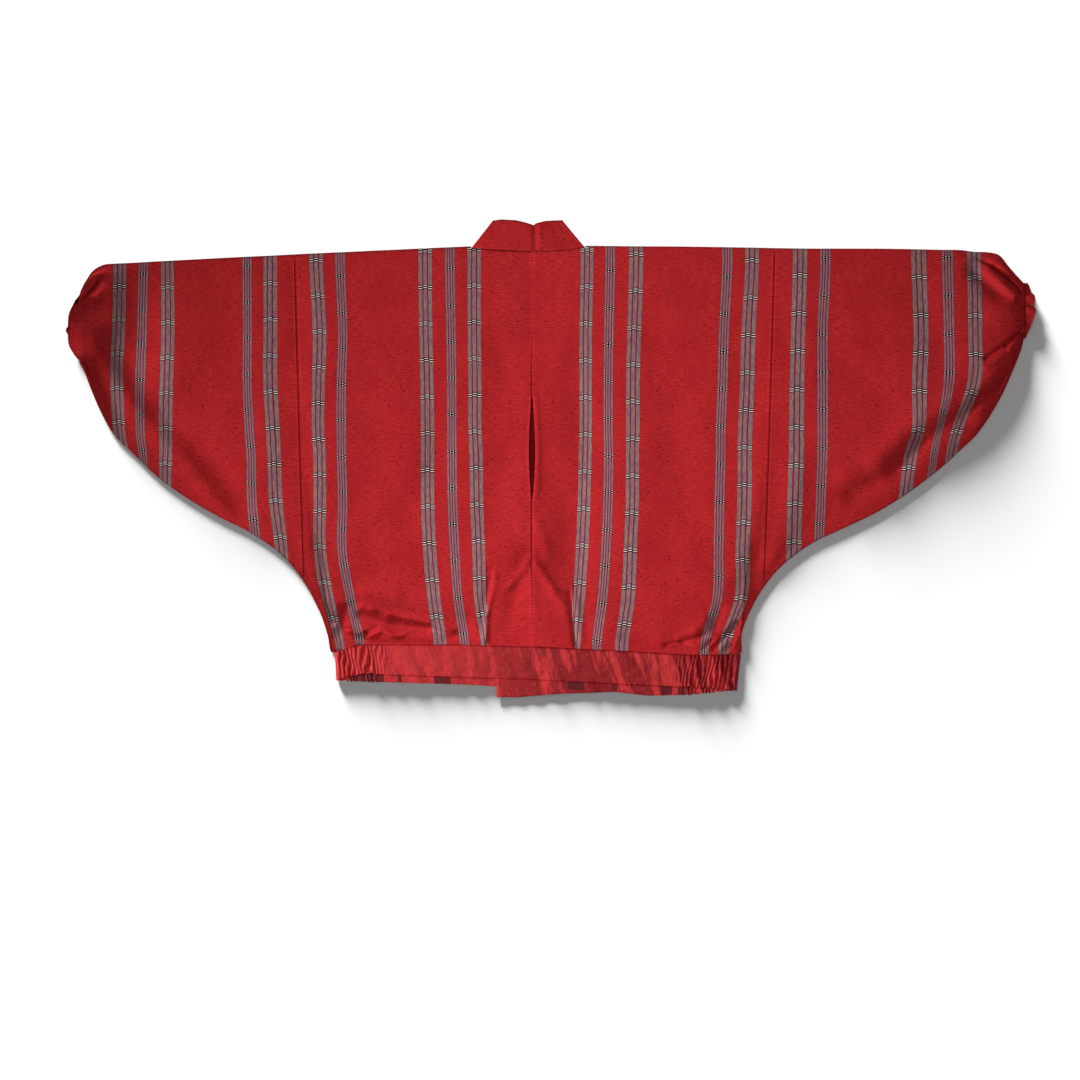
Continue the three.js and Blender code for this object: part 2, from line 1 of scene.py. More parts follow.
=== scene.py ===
# %% [markdown]
# # A short haori jacket, laid flat with its back up
#
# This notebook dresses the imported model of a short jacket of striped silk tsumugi. The jacket lies on
# a pale floor with its back up, and the camera looks straight down. Every cell makes one piece or one
# finish, and says first what it is on the real garment.
#
# Lengths in the tables are millimetres. X runs out from the centre back and Y up from the shoulder
# fold at the neck, so a point on the back is written as a tailor would chalk it.

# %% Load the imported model, which fixes every place
import math

import bpy
import numpy as np
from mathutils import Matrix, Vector


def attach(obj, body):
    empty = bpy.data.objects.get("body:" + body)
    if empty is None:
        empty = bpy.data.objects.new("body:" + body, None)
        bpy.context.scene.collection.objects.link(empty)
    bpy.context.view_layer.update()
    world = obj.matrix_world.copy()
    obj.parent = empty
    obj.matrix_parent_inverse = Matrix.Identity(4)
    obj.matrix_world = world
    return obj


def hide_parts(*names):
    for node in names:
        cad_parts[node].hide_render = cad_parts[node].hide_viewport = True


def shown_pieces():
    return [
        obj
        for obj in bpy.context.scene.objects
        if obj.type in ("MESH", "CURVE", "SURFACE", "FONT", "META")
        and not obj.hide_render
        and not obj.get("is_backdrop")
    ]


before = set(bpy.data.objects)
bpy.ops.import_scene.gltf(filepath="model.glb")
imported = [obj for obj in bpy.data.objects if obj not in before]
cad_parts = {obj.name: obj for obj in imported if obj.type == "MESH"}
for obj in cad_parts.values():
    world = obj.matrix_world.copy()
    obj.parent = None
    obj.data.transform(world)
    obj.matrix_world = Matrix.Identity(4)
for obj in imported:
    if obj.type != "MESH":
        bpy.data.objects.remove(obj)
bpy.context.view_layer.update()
print("packed nodes:", sorted(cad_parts))

# %% [markdown]
# ## Smooth tables
#
# A garment has few straight lines. The pattern pieces are given as short tables, one row for each
# line across the cloth, and a curve is led through the rows. A Catmull-Rom curve passes through each
# row and needs no handles, so the table holds nothing but measured places.

# %% A curve through the rows of a table
ORIGIN = np.array([-26.945, 306.599, 0.0])  # from the neck point to the origin of the model


def smooth(low, high, value):
    t = np.clip((np.asarray(value, float) - low) / (high - low), 0, 1)
    return t * t * (3 - 2 * t)


def mix(a, b, t):
    return a + (b - a) * t


def through(rows, s):
    """The columns of a table at row s, which may lie between two rows."""
    s = np.clip(np.asarray(s, float), 0, len(rows) - 1)
    i = np.clip(np.floor(s).astype(int), 0, len(rows) - 2)
    t = (s - i)[..., None]
    before, a, b, after = (rows[np.clip(i + k, 0, len(rows) - 1)] for k in (-1, 0, 1, 2))
    start, end = (b - before) / 2, (after - a) / 2
    return (
        a * (2 * t**3 - 3 * t**2 + 1)
        + b * (3 * t**2 - 2 * t**3)
        + start * (t**3 - 2 * t**2 + t)
        + end * (t**3 - t**2)
    )


# %% [markdown]
# ## The two halves
#
# Each half of the jacket is cut from narrow kimono cloth: a body panel, front and back in one length,
# and a batwing sleeve. A row of these tables is one line up the back, from the lower outline to the
# shoulder, with its height above the floor at the crest and at the lower end.

# %% Rows of the left and the right half, from the centre back out to the cuff
TOP_X, TOP_Y, LOW_X, LOW_Y, CREST, LOW_Z = range(6)
CLOTH, BAND, SEAM, FOLD = 1.3, 2.4, 0.3, 2.6
FLOOR, BAND_FLOOR = CLOTH / 2, BAND / 2
FOLD_TOP = FLOOR + 2 * FOLD
NECK, CORNER, ARMHOLE, TUCK = 5, 12, 15, 3

LEFT = np.array([
    [0, -6, 0, -579, 17, 9.5],
    [22, -5.6, 22, -578.5, 17, 9.5],
    [44, -4.6, 44, -578, 17.5, 9.5],
    [60, -3.6, 65.5, -577.5, 18, 9.5],
    [66, -3.2, 67.5, -577.4, 18, 9.5],
    [88, 0, 84, -577, 18, 9.8],
    [120, -1, 112, -576, 19, 10],
    [155, -2.5, 148, -576, 20, 10.5],
    [195, -4.4, 184, -576, 20, 11],
    [232, -6, 217, -576, 20, 11.5],
    [268, -7.8, 246, -576.5, 20, 11],
    [300, -9.2, 268, -581, 20.5, 9],
    [322, -10.2, 289.5, -588, 21, FOLD_TOP],
    [330, -10.6, 296, -562, 21.5, FOLD_TOP],
    [337, -10.9, 308, -527, 22, FOLD_TOP],
    [345, -11.3, 334, -479, 22, FOLD_TOP],
    [376, -13, 366, -443, 22.5, FOLD_TOP],
    [411, -14.6, 409, -413, 23.5, FOLD_TOP],
    [453, -16.7, 453, -391, 24.5, FOLD_TOP],
    [496, -19, 496, -366, 25.5, FOLD_TOP],
    [540, -21.3, 540, -335, 27, FOLD_TOP],
    [580, -23.6, 580, -297, 28.5, FOLD_TOP],
    [604, -24.7, 606, -271, 29.5, FOLD_TOP],
    [621, -26.5, 624, -240, 30, FOLD_TOP],
    [636, -35, 638, -208, 30, FOLD_TOP],
    [646, -49, 647, -184, 29.5, FOLD_TOP],
    [651, -58, 651, -176, 28, FOLD_TOP],
    [655, -68, 655, -168, 25, FOLD_TOP],
    [657, -78, 657, -161, 21, FOLD_TOP],
    [657.8, -83, 657.8, -158, 17.6, FOLD_TOP],
    [658.3, -86, 658.3, -156, 15.8, FOLD_TOP],
    [660, -88.2, 660, -153.8, 14.8, FOLD_TOP],
])
RIGHT = np.array([
    [0, -6, 0, -579, 17, 9.5],
    [22, -5.6, 22, -580, 17, 9.5],
    [40, -4.8, 40, -581, 17.5, 9.5],
    [54, -3.8, 60, -582, 18, 9.5],
    [60, -3.4, 62, -582.2, 18, 9.5],
    [77, 0.8, 80, -583, 18, 9.8],
    [113, 0.8, 112, -584.5, 19, 10],
    [155, 0.4, 150, -586.5, 20, 10.5],
    [200, 0.2, 190, -589, 20, 11],
    [243, -0.3, 228, -591, 20, 11.5],
    [280, -0.9, 262, -591, 20, 11],
    [308, -1.3, 284, -590, 20.5, 9],
    [325, -1.6, 302.5, -589, 21, FOLD_TOP],
    [334, -1.8, 303.5, -560, 21.5, FOLD_TOP],
    [343, -2, 318, -523, 22, FOLD_TOP],
    [352.5, -2.2, 339, -488, 22, FOLD_TOP],
    [378, -2.6, 364, -460, 22.5, FOLD_TOP],
    [412, -2.9, 404, -430, 23.5, FOLD_TOP],
    [456, -2.9, 452, -407, 24.5, FOLD_TOP],
    [500, -3, 500, -384, 25.5, FOLD_TOP],
    [545, -3.6, 545, -356, 27, FOLD_TOP],
    [590, -4.6, 590, -322, 28, FOLD_TOP],
    [620, -5, 621, -294, 28.5, FOLD_TOP],
    [641, -7.6, 643, -273, 28.5, FOLD_TOP],
    [660, -8.2, 662, -247, 28, FOLD_TOP],
    [677, -12.5, 680, -216, 26.5, FOLD_TOP],
    [691, -29, 692, -190, 24, FOLD_TOP],
    [701, -40.5, 702, -166, 21, FOLD_TOP],
    [708.5, -48.5, 708.5, -149, 17.5, FOLD_TOP],
    [712.4, -52.6, 712.4, -133, 15.3, FOLD_TOP],
    [714.4, -53, 714.4, -132, 14.8, FOLD_TOP],
])
PUFF_OVER = np.array([0.0, 4, 10, 15.5, 17, 14.5, 7, 0])  # the left sleeve's end bulges over its cuff


class Half:
    """One half of the jacket: its rows, and what differs between left and right."""

    def __init__(self, name, sign, rows, tuck_height, band_end, band_slant, puff):
        self.name, self.sign, self.rows = name, sign, rows
        self.tuck_height, self.band_end, self.band_slant, self.puff = tuck_height, band_end, band_slant, puff

    @property
    def last(self):
        return len(self.rows) - 1


left = Half("left", -1, LEFT, 92, 285, 2, True)
right = Half("right", 1, RIGHT, 44, 302, 6, False)
halves = (left, right)
print("rows:", len(LEFT), "left,", len(RIGHT), "right")

# %% [markdown]
# ## Folds and creases
#
# The cloth puffs up a little over the air inside, with a few large folds and many small creases: at
# the cuffs, where elastic gathers them, above the hem band, and beside the pleat. Each is one row, a
# soft ridge or, with a minus sign, a trough. They were placed so that no two are alike. Such
# rows are easier to steer than noise, which would crumple the whole cloth evenly.

# %% Rows of folds: from (x1, y1) to (x2, y2), with a width and a height
FOLDS = [
    (624, -217, 547, -259, 18, 6.0),
    (543, -262, 496, -315, 18, 6.0),
    (501, -311, 444, -336, 18, 5.0),
    (637, -241, 560, -283, 15, -8.0),
    (564, -281, 517, -334, 15, -8.0),
    (512, -337, 455, -362, 15, -6.0),
    (634, -28, 684, -76, 12, -5),
    (-613, -129, -533, -243, 20, 6.5),
    (-535, -241, -468, -304, 20, 6.5),
    (-465, -307, -413, -386, 20, 5.5),
    (-661, -121, -634, -147, 18, -4.5),
    (-636, -145, -556, -259, 18, -7.5),
    (-554, -261, -487, -324, 18, -8.5),
    (-489, -322, -437, -401, 18, -6.5),
    (-272, -536, -80, -548, 17, 5),
    (-262, -566, -118, -562, 11, -3),
    (90, -556, 250, -548, 18, 4),
    (-4, -446, -26, -520, 20, 3),
    (4, -455, 50, -528, 18, 2),
    (-40, -340, -46, -130, 30, 2.5),
    (60, -360, 40, -120, 30, 2.5),
]
CREASES = [
    # round the right cuff
    (644, -14, 672, -30, 4.0, -4.0),
    (668, -28, 694, -48, 3.2, -5.5),
    (690, -45, 714, -70, 3.0, -5.0),
    (656, -34, 704, -74, 7, 3.6),
    (682, -24, 708, -50, 4.5, 3.4),
    (688, -26, 706, -44, 2.8, -3.6),
    (700, -78, 714, -84, 3.5, -2.6),
    (726, -100, 706, -124, 3.2, -6.0),
    (709, -121, 684, -144, 3.0, -6.0),
    (686, -142, 654, -164, 3.6, -3.6),
    (724, -118, 690, -152, 4.5, 3.6),
    (694, -152, 652, -178, 6, 2.4),
    (700, -92, 656, -98, 10, 1.8),
    (714, -130, 702, -156, 3.2, -2.8),
    # the upper end of the deep fold along the lower edge of the right sleeve
    (693, -162, 680, -178, 11, 3.5),
    (681, -177, 625, -223, 11, 4.5),
    (705, -172, 692, -188, 9, -3.5),
    (691, -189, 635, -235, 9, -5.5),
    # the left end, which turns down
    (-690, -20, -690, -210, 60, -16.0),
    (-563, -60, -568, -185, 38, 9.0),
    (-640, -30, -662, -60, 14, -4.0),
    (-632, -50, -645, -66, 4.5, -8.0),
    (-645, -66, -656, -80, 4.0, -5.0),
    (-622, -50, -640, -70, 6, 3.4),
    (-626, -76, -654, -84, 7, -3.0),
    (-650, -82, -666, -102, 6, -2.6),
    # above the hem band on the left
    (-250, -520, -206, -534, 6, -4.0),
    (-208, -534, -148, -543, 6.0, -6.0),
    (-150, -543, -110, -558, 4.0, -5.0),
    (-252, -533, -208, -548, 5, 3.6),
    (-208, -548, -150, -555, 6, 5.6),
    (-152, -553, -112, -568, 4.5, 3.2),
    (-236, -524, -224, -529, 3.4, -2.6),
    (-200, -537, -188, -544, 3.4, 2.4),
    (-286, -548, -262, -558, 4.0, -7.0),
    (-264, -557, -240, -560, 4.0, -7.0),
    (-236, -567, -217, -557, 3.0, -4.4),
    (-214, -557, -194, -567, 3.0, -4.2),
    (-194, -567, -181, -559, 3.0, -3.0),
    (-240, -560, -222, -550, 4, 2.6),
    (-268, -520, -276, -560, 6, 3.2),
    (-302, -515, -290, -565, 5, -3.0),
    (-258, -566, -236, -574, 4, 2.6),
    (-170, -560, -120, -570, 4, 1.8),
    (-252, -498, -190, -506, 12, -2.4),
    # beside the centre pleat, and the two tucks
    (-2, -452, -34, -495, 6, -2.4),
    (5, -458, 34, -502, 5, 2.6),
    (30, -498, 52, -530, 6, 1.8),
    (-10, -440, -40, -560, 12, 1.8),
    (-52, -470, -65, -536, 3.5, -3.2),
    (-65, -530, -66, -592, 3.5, -3.4),
    (-60, -480, -74, -560, 6, 2.4),
    (53, -496, 59, -545, 3.5, -2.6),
    (59, -540, 63, -592, 3.5, -3.2),
    (64, -510, 72, -575, 6, 2.0),
    (8, -392, 24, -452, 8, 1.6),
    (-24, -300, -60, -420, 26, 1.6),
    # above the hem band on the right
    (298, -545, 281, -565, 4.0, -7.5),
    (282, -564, 259, -586, 4.0, -7.5),
    (286, -562, 268, -588, 4, 3.8),
    (304, -556, 288, -584, 4, 3.4),
    (300, -540, 286, -560, 3.4, -4.0),
    (292, -574, 276, -592, 3.0, -3.6),
    (252, -536, 228, -574, 7, 2.6),
    (252, -562, 216, -574, 4.0, -6.0),
    (218, -573, 190, -578, 4.0, -4.6),
    (240, -554, 210, -565, 4.5, 2.6),
    (262, -568, 244, -588, 3.2, -3.8),
    (232, -578, 206, -582, 3.2, -2.4),
    (130, -560, 176, -572, 9, -2.0),
    (276, -520, 262, -556, 7, -2.6),
    # long soft ones on the sleeves and the back
    (-560, -60, -500, -200, 30, -2.2),
    (-400, -60, -380, -330, 24, -2.0),
    (-342, -40, -330, -150, 16, 1.8),
    (-330, -420, -270, -520, 16, -2.8),
    (-215, -120, -150, -420, 34, -2.4),
    (-120, -250, -190, -420, 26, 1.8),
    (180, -100, 230, -420, 36, -2.2),
    (420, -120, 520, -260, 26, -2.4),
    (330, -430, 290, -520, 14, -2.6),
    (392, -300, 350, -470, 18, 2.4),
    (560, -40, 600, -180, 22, -2.2),
]


def relief(x, y):
    """What the folds and creases add to the height of the back, each fading out at its ends."""
    height = np.zeros_like(x)
    for x1, y1, x2, y2, width, rise in FOLDS + CREASES:
        dx, dy = x2 - x1, y2 - y1
        length = math.hypot(dx, dy)
        along = ((x - x1) * dx + (y - y1) * dy) / length
        across = ((x - x1) * dy - (y - y1) * dx) / length
        ends = smooth(-width, width, along) * smooth(-width, width, length - along)
        height += rise * ends * np.exp(-((across / width) ** 2))
    return height


def crumple(x, y, size, seed):
    """Low, uneven swells: a few plane waves with their own directions and lengths."""
    draw = np.random.default_rng(seed)
    total = np.zeros_like(x)
    for _ in range(7):
        turn, phase = draw.uniform(0, math.pi), draw.uniform(0, 2 * math.pi)
        wave = 2 * math.pi / (size * draw.uniform(0.7, 1.6))
        total += np.sin(wave * (x * math.cos(turn) + y * math.sin(turn)) + phase)
    return total / 7


print(len(FOLDS), "folds and", len(CREASES), "creases")

# %% [markdown]
# ## The stripes as the weaver set them
#
# The warp carries five stripes on each width of cloth, three wide and two narrow, at fixed places.
# They follow the thread, so they bend where the cloth is pulled in at the hem and at the cuffs. Each
# vertex therefore carries its place on the flat cloth, and the finish is drawn from that place. The
# tables say where each stripe lies on the laid garment, out from the centre back, at nine heights.

# %% Where the stripes run, and the beat of their woven marks
STRIPE_AT = np.array([32.0, 66.5, 190.0, 226.0, 261.0])  # on the flat cloth, from the armhole seam
CLOTH_WIDTH = 342.0
HEIGHTS = np.array([-22, -126, -196, -265, -300, -370, -439, -509, -579], float)
BODY_STRIPES = {
    "left": [[313, 278, 155, 119, 84], [307, 274, 154, 117, 84], [309, 276, 152, 116, 83],
             [310, 276, 151, 116, 83], [307, 276, 151, 116, 81], [307, 274, 151, 115, 80],
             [307, 275, 148, 112, 77], [296, 263, 142, 107, 75], [280, 249, 133, 97, 65]],
    "right": [[319, 283, 151, 113, 80], [313, 278, 148, 111, 78], [311, 276, 146, 110, 78],
              [308, 273, 146, 110, 78], [307, 273, 145, 111, 77], [307, 271, 145, 110, 75],
              [304, 270, 142, 107, 72], [303, 268, 139, 102, 67], [278, 250, 130, 93, 62]],
}
SLEEVE_STRIPES = {
    "left": [[380, 413, 528, 563, 597], [380, 412, 526, 564, 597], [380, 412, 528, 566, 600],
             [376, 409, 529, 568, 597], [374, 406, 531, 564, 592], [371, 405, 533, 560, 588],
             [362, 400, 533, 560, 588], [358, 398, 533, 560, 588], [356, 396, 533, 560, 588]],
    "right": [[389, 425, 560, 602, 641], [386, 420, 563, 603, 641], [384, 420, 560, 603, 639],
              [383, 420, 560, 590, 615], [383, 420, 549, 583, 606], [381, 418, 540, 575, 600],
              [380, 416, 535, 570, 596], [379, 415, 532, 568, 594], [378, 414, 530, 566, 592]],
}
MARKS = {  # for each stripe, the first mark below the shoulder and the repeat
    "body left": [(19.9, 51.9), (42.9, 52.3), (59.2, 53.0), (31.9, 52.9), (57.1, 52.9)],
    "body right": [(20.4, 54.3), (44.0, 54.2), (10.9, 53.6), (34.5, 53.6), (58.5, 53.6)],
    "sleeve left": [(53.9, 52.4), (27.9, 52.4), (59.9, 51.0), (40.0, 51.0), (57.9, 49.2)],
    "sleeve right": [(42.4, 55.1), (17.3, 54.8), (45.0, 55.2), (16.0, 55.8), (45.5, 55.7)],
}

TUCKS = {  # the edge of the tuck beside the pleat, down the back, and how much cloth it hides
    "left": (np.array([[53.0, 470.0], [65.0, 535.0], [65.5, 580.0]]), 13.0),
    "right": (np.array([[54.0, 500.0], [59.0, 540.0], [62.5, 583.0]]), 10.0),
}


def cloth_place(piece, half, x, y, along):
    """For points of a piece: place across the cloth, place along it, and beat of the nearest marks."""
    table = np.array((BODY_STRIPES if piece == "body" else SLEEVE_STRIPES)[half.name], float)
    at = through(table, np.interp(-y, -HEIGHTS, np.arange(9)))
    seam = np.interp(-y, half.rows[[ARMHOLE, ARMHOLE, CORNER], [TOP_Y, LOW_Y, LOW_Y]] * -1,
                     half.rows[[ARMHOLE, ARMHOLE, CORNER], [TOP_X, LOW_X, LOW_X]])
    if piece == "body":
        edges = [seam, *np.moveaxis(at, -1, 0), np.zeros_like(x)]
    else:
        edges = [seam, *np.moveaxis(at, -1, 0), at[..., 4] + 82]
    places = [0.0, *STRIPE_AT, CLOTH_WIDTH]
    across = np.zeros_like(x)
    for (a, b), (p, q) in zip(zip(edges, edges[1:]), zip(places, places[1:])):
        share = (x - a) / (b - a)
        inside = (share >= 0) & (share <= 1)
        across = np.where(inside, mix(p, q, share), across)
    beyond = (x < edges[-1]) if piece == "body" else (x > edges[-1])
    across = np.where(beyond, CLOTH_WIDTH + np.abs(x - edges[-1]), across)
    if piece == "body":
        line, hidden = TUCKS[half.name]
        inside = x < np.interp(-y, line[:, 1], line[:, 0])
        taken_up = hidden * smooth(line[0, 1], line[-1, 1] - 20, -y) * smooth(6, 40, x)
        across = across + np.where(inside, taken_up, 0.0)
    nearest = np.abs(across[..., None] - STRIPE_AT).argmin(-1)
    first, pitch = np.moveaxis(np.array(MARKS[f"{piece} {half.name}"])[nearest], -1, 0)
    return np.stack([across, along, (along - first) / pitch], -1)


# %% [markdown]
# ## Sheets from patches
#
# A panel is made of a few patches: its back, its front, and the soft folds that join them at the
# shoulder and at the side. Each patch is a grid of points. Points that coincide are welded, so that the
# shading runs smoothly over the folds, and a Solidify modifier then gives the cloth its thickness.

# %% Weld patches into one sheet of cloth
def new_object(name, data):
    """A new object in the scene that holds this mesh, lamp or camera."""
    obj = bpy.data.objects.new(name, data)
    bpy.context.collection.objects.link(obj)
    return obj


def finished(obj):
    """Applies an object's modifiers, and leaves it a plain mesh."""
    graph = bpy.context.evaluated_depsgraph_get()
    mesh = bpy.data.meshes.new_from_object(obj.evaluated_get(graph))
    obj.modifiers.clear()
    obj.data = mesh
    return obj


def sheet_of(name, patches, thickness, finish, flip=False):
    """One sheet from grids of points, each (n, m, 3) in millimetres, with their places on the cloth."""
    points, places, quads, count = [], [], [], 0
    for grid, place in patches:
        n, m = grid.shape[:2]
        index = np.arange(n * m).reshape(n, m) + count
        corners = [index[:-1, :-1], index[1:, :-1], index[1:, 1:], index[:-1, 1:]]
        quads.append(np.stack(corners[::-1] if flip else corners, -1).reshape(-1, 4))
        points.append(grid.reshape(-1, 3))
        places.append(np.broadcast_to(place, grid.shape).reshape(-1, 3))
        count += n * m
    points, places, quads = map(np.concatenate, (points, places, quads))
    _, first, weld = np.unique(np.round(points, 3), axis=0, return_index=True, return_inverse=True)
    quads = weld.reshape(-1)[quads]
    faces = []
    for quad in quads.tolist():
        corners = [c for k, c in enumerate(quad) if c != quad[k - 1]]
        if len(set(corners)) > 2:
            faces.append(corners)
    mesh = bpy.data.meshes.new(name)
    mesh.from_pydata(((points[first] + ORIGIN) / 1000).tolist(), [], faces)
    spot = mesh.attributes.new("cloth", "FLOAT_VECTOR", "POINT")
    spot.data.foreach_set("vector", places[first].astype(np.float32).ravel())
    mesh.polygons.foreach_set("use_smooth", [True] * len(mesh.polygons))
    mesh.materials.append(finish)
    obj = new_object(name, mesh)
    area = sum(face.area for face in mesh.polygons)
    wall = obj.modifiers.new("thickness", "SOLIDIFY")
    wall.thickness, wall.offset = thickness / 1000, 0
    finished(obj)
    print(f"{name}: {len(obj.data.polygons)} faces, {area:.4f} square metres of cloth")
    return obj, area


# %% [markdown]
# ## Finishes
#
# Shader maths reads best as plain sums. This small class wraps a socket, so that `1 - mask * 0.5`
# adds the Math nodes that it needs. Colours never pass through it: they go through Mix nodes.

# %% Wires, and a finish that hands them out
class Wire:
    """A socket in a finish, with sums on it written as Python."""

    def __init__(self, finish, socket):
        self.finish, self.socket = finish, socket

    def sum(self, operation, *values):
        return self.finish.node("ShaderNodeMath", dict(operation=operation), dict(enumerate(values)))

    def __add__(self, other): return self.sum("ADD", self, other)
    def __radd__(self, other): return self.sum("ADD", other, self)
    def __sub__(self, other): return self.sum("SUBTRACT", self, other)
    def __rsub__(self, other): return self.sum("SUBTRACT", other, self)
    def __mul__(self, other): return self.sum("MULTIPLY", self, other)
    def __rmul__(self, other): return self.sum("MULTIPLY", other, self)
    def __truediv__(self, other): return self.sum("DIVIDE", self, other)
    def __abs__(self): return self.sum("ABSOLUTE", self)
    def least(self, other): return self.sum("MINIMUM", self, other)
    def most(self, other): return self.sum("MAXIMUM", self, other)
    def fraction(self): return self.sum("FRACT", self)
    def cosine(self): return self.sum("COSINE", self)


class Finish:
    """A material of one Principled surface, built node by node."""

    def __init__(self, name, **surface):
        self.material = bpy.data.materials.new(name)
        self.material.use_nodes = True
        self.nodes, self.links = self.material.node_tree.nodes, self.material.node_tree.links
        self.surface = self.nodes["Principled BSDF"]
        for socket, value in surface.items():
            self.surface.inputs[socket.replace("_", " ")].default_value = value

    def put(self, socket, value):
        if isinstance(value, Wire):
            self.links.new(value.socket, socket)
        elif value is not None:
            socket.default_value = value

    def node(self, kind, settings, sockets, out=0):
        """A node with its settings, and values or wires for its sockets, each by number or by name."""
        node = self.nodes.new(kind)
        for key, value in settings.items():
            setattr(node, key, value)
        for key, value in sockets.items():
            self.put(node.inputs[key], value)
        return Wire(self, node.outputs[out])

    def band(self, value, low, high, start=0.0, end=1.0):
        """From start to end, softly, as the value goes from low to high."""
        sockets = {"Value": value, "From Min": low, "From Max": high, "To Min": start, "To Max": end}
        return self.node("ShaderNodeMapRange", dict(interpolation_type="SMOOTHSTEP"), sockets)

    def blend(self, a, b, share):
        """Colour b over colour a, by a share."""
        return self.node("ShaderNodeMix", dict(data_type="RGBA"), {0: share, 6: a, 7: b}, out=2)

    def place(self, x, y, z):
        return self.node("ShaderNodeCombineXYZ", {}, {0: x, 1: y, 2: z})

    def split(self, vector):
        """The three parts of a vector."""
        return [self.node("ShaderNodeSeparateXYZ", {}, {0: vector}, out=k) for k in range(3)]

    def object_place(self):
        """The place on the object, in millimetres."""
        where = self.node("ShaderNodeTexCoord", {}, {}, out=3)
        return self.node("ShaderNodeVectorMath", dict(operation="SCALE"), {0: where, "Scale": 1000.0})

    def noise(self, at, scale, detail=2.0, roughness=0.5):
        """Noise between 0 and 1 with features of 1 / scale."""
        sockets = {"Vector": at, "Scale": scale, "Detail": detail, "Roughness": roughness}
        return self.node("ShaderNodeTexNoise", {}, sockets)

    def finish(self, colour, bump=None, depth=0.0002, rough=None):
        self.put(self.surface.inputs["Base Color"], colour)
        if rough is not None:
            self.put(self.surface.inputs["Roughness"], rough)
        if bump is not None:
            lift = self.node("ShaderNodeBump", {}, {"Height": bump, "Distance": depth})
            self.put(self.surface.inputs["Normal"], lift)
        return self.material


def paint(red, green, blue):
    """A colour as read off a screen, 0 to 255, made linear."""
    share = [c / 255 for c in (red, green, blue)]
    return (*(c / 12.92 if c <= 0.04045 else ((c + 0.055) / 1.055) ** 2.4 for c in share), 1.0)


# %% [markdown]
# ## Tsumugi, plain and striped
#
# Tsumugi is woven from hand-spun silk. Its threads swell and thin, so the weave shows short dark slubs
# along the weft and a fine uneven grain. The stripes are grey threads in three bars, or four fine
# lines, and at every beat the resist-dyed threads break into small white and dark dashes. The cloth
# is matte, so its finish has no specular part. Painted shade darkens the sunken seam lines, the plain
# cloth of the collar and cuffs a little, and the ply inside the pleat much more.

# %% The red cloth, and the stripes over it
MARK_REPEAT = 53.5  # millimetres to one beat, close to the mean repeat of the marks
DASHES, CHECKS = 3.2, 3.1  # along a stripe: from dash to dash, and from check to check
BARS, FINE_LINES = 6.95, 3.75  # across a stripe: from bar to bar, and from line to line


def from_stripe(across, stripes):
    """How far a point lies from the middle of the nearest of some stripes."""
    nearest = abs(across - float(stripes[0]))
    for place in stripes[1:]:
        nearest = nearest.least(abs(across - float(place)))
    return nearest


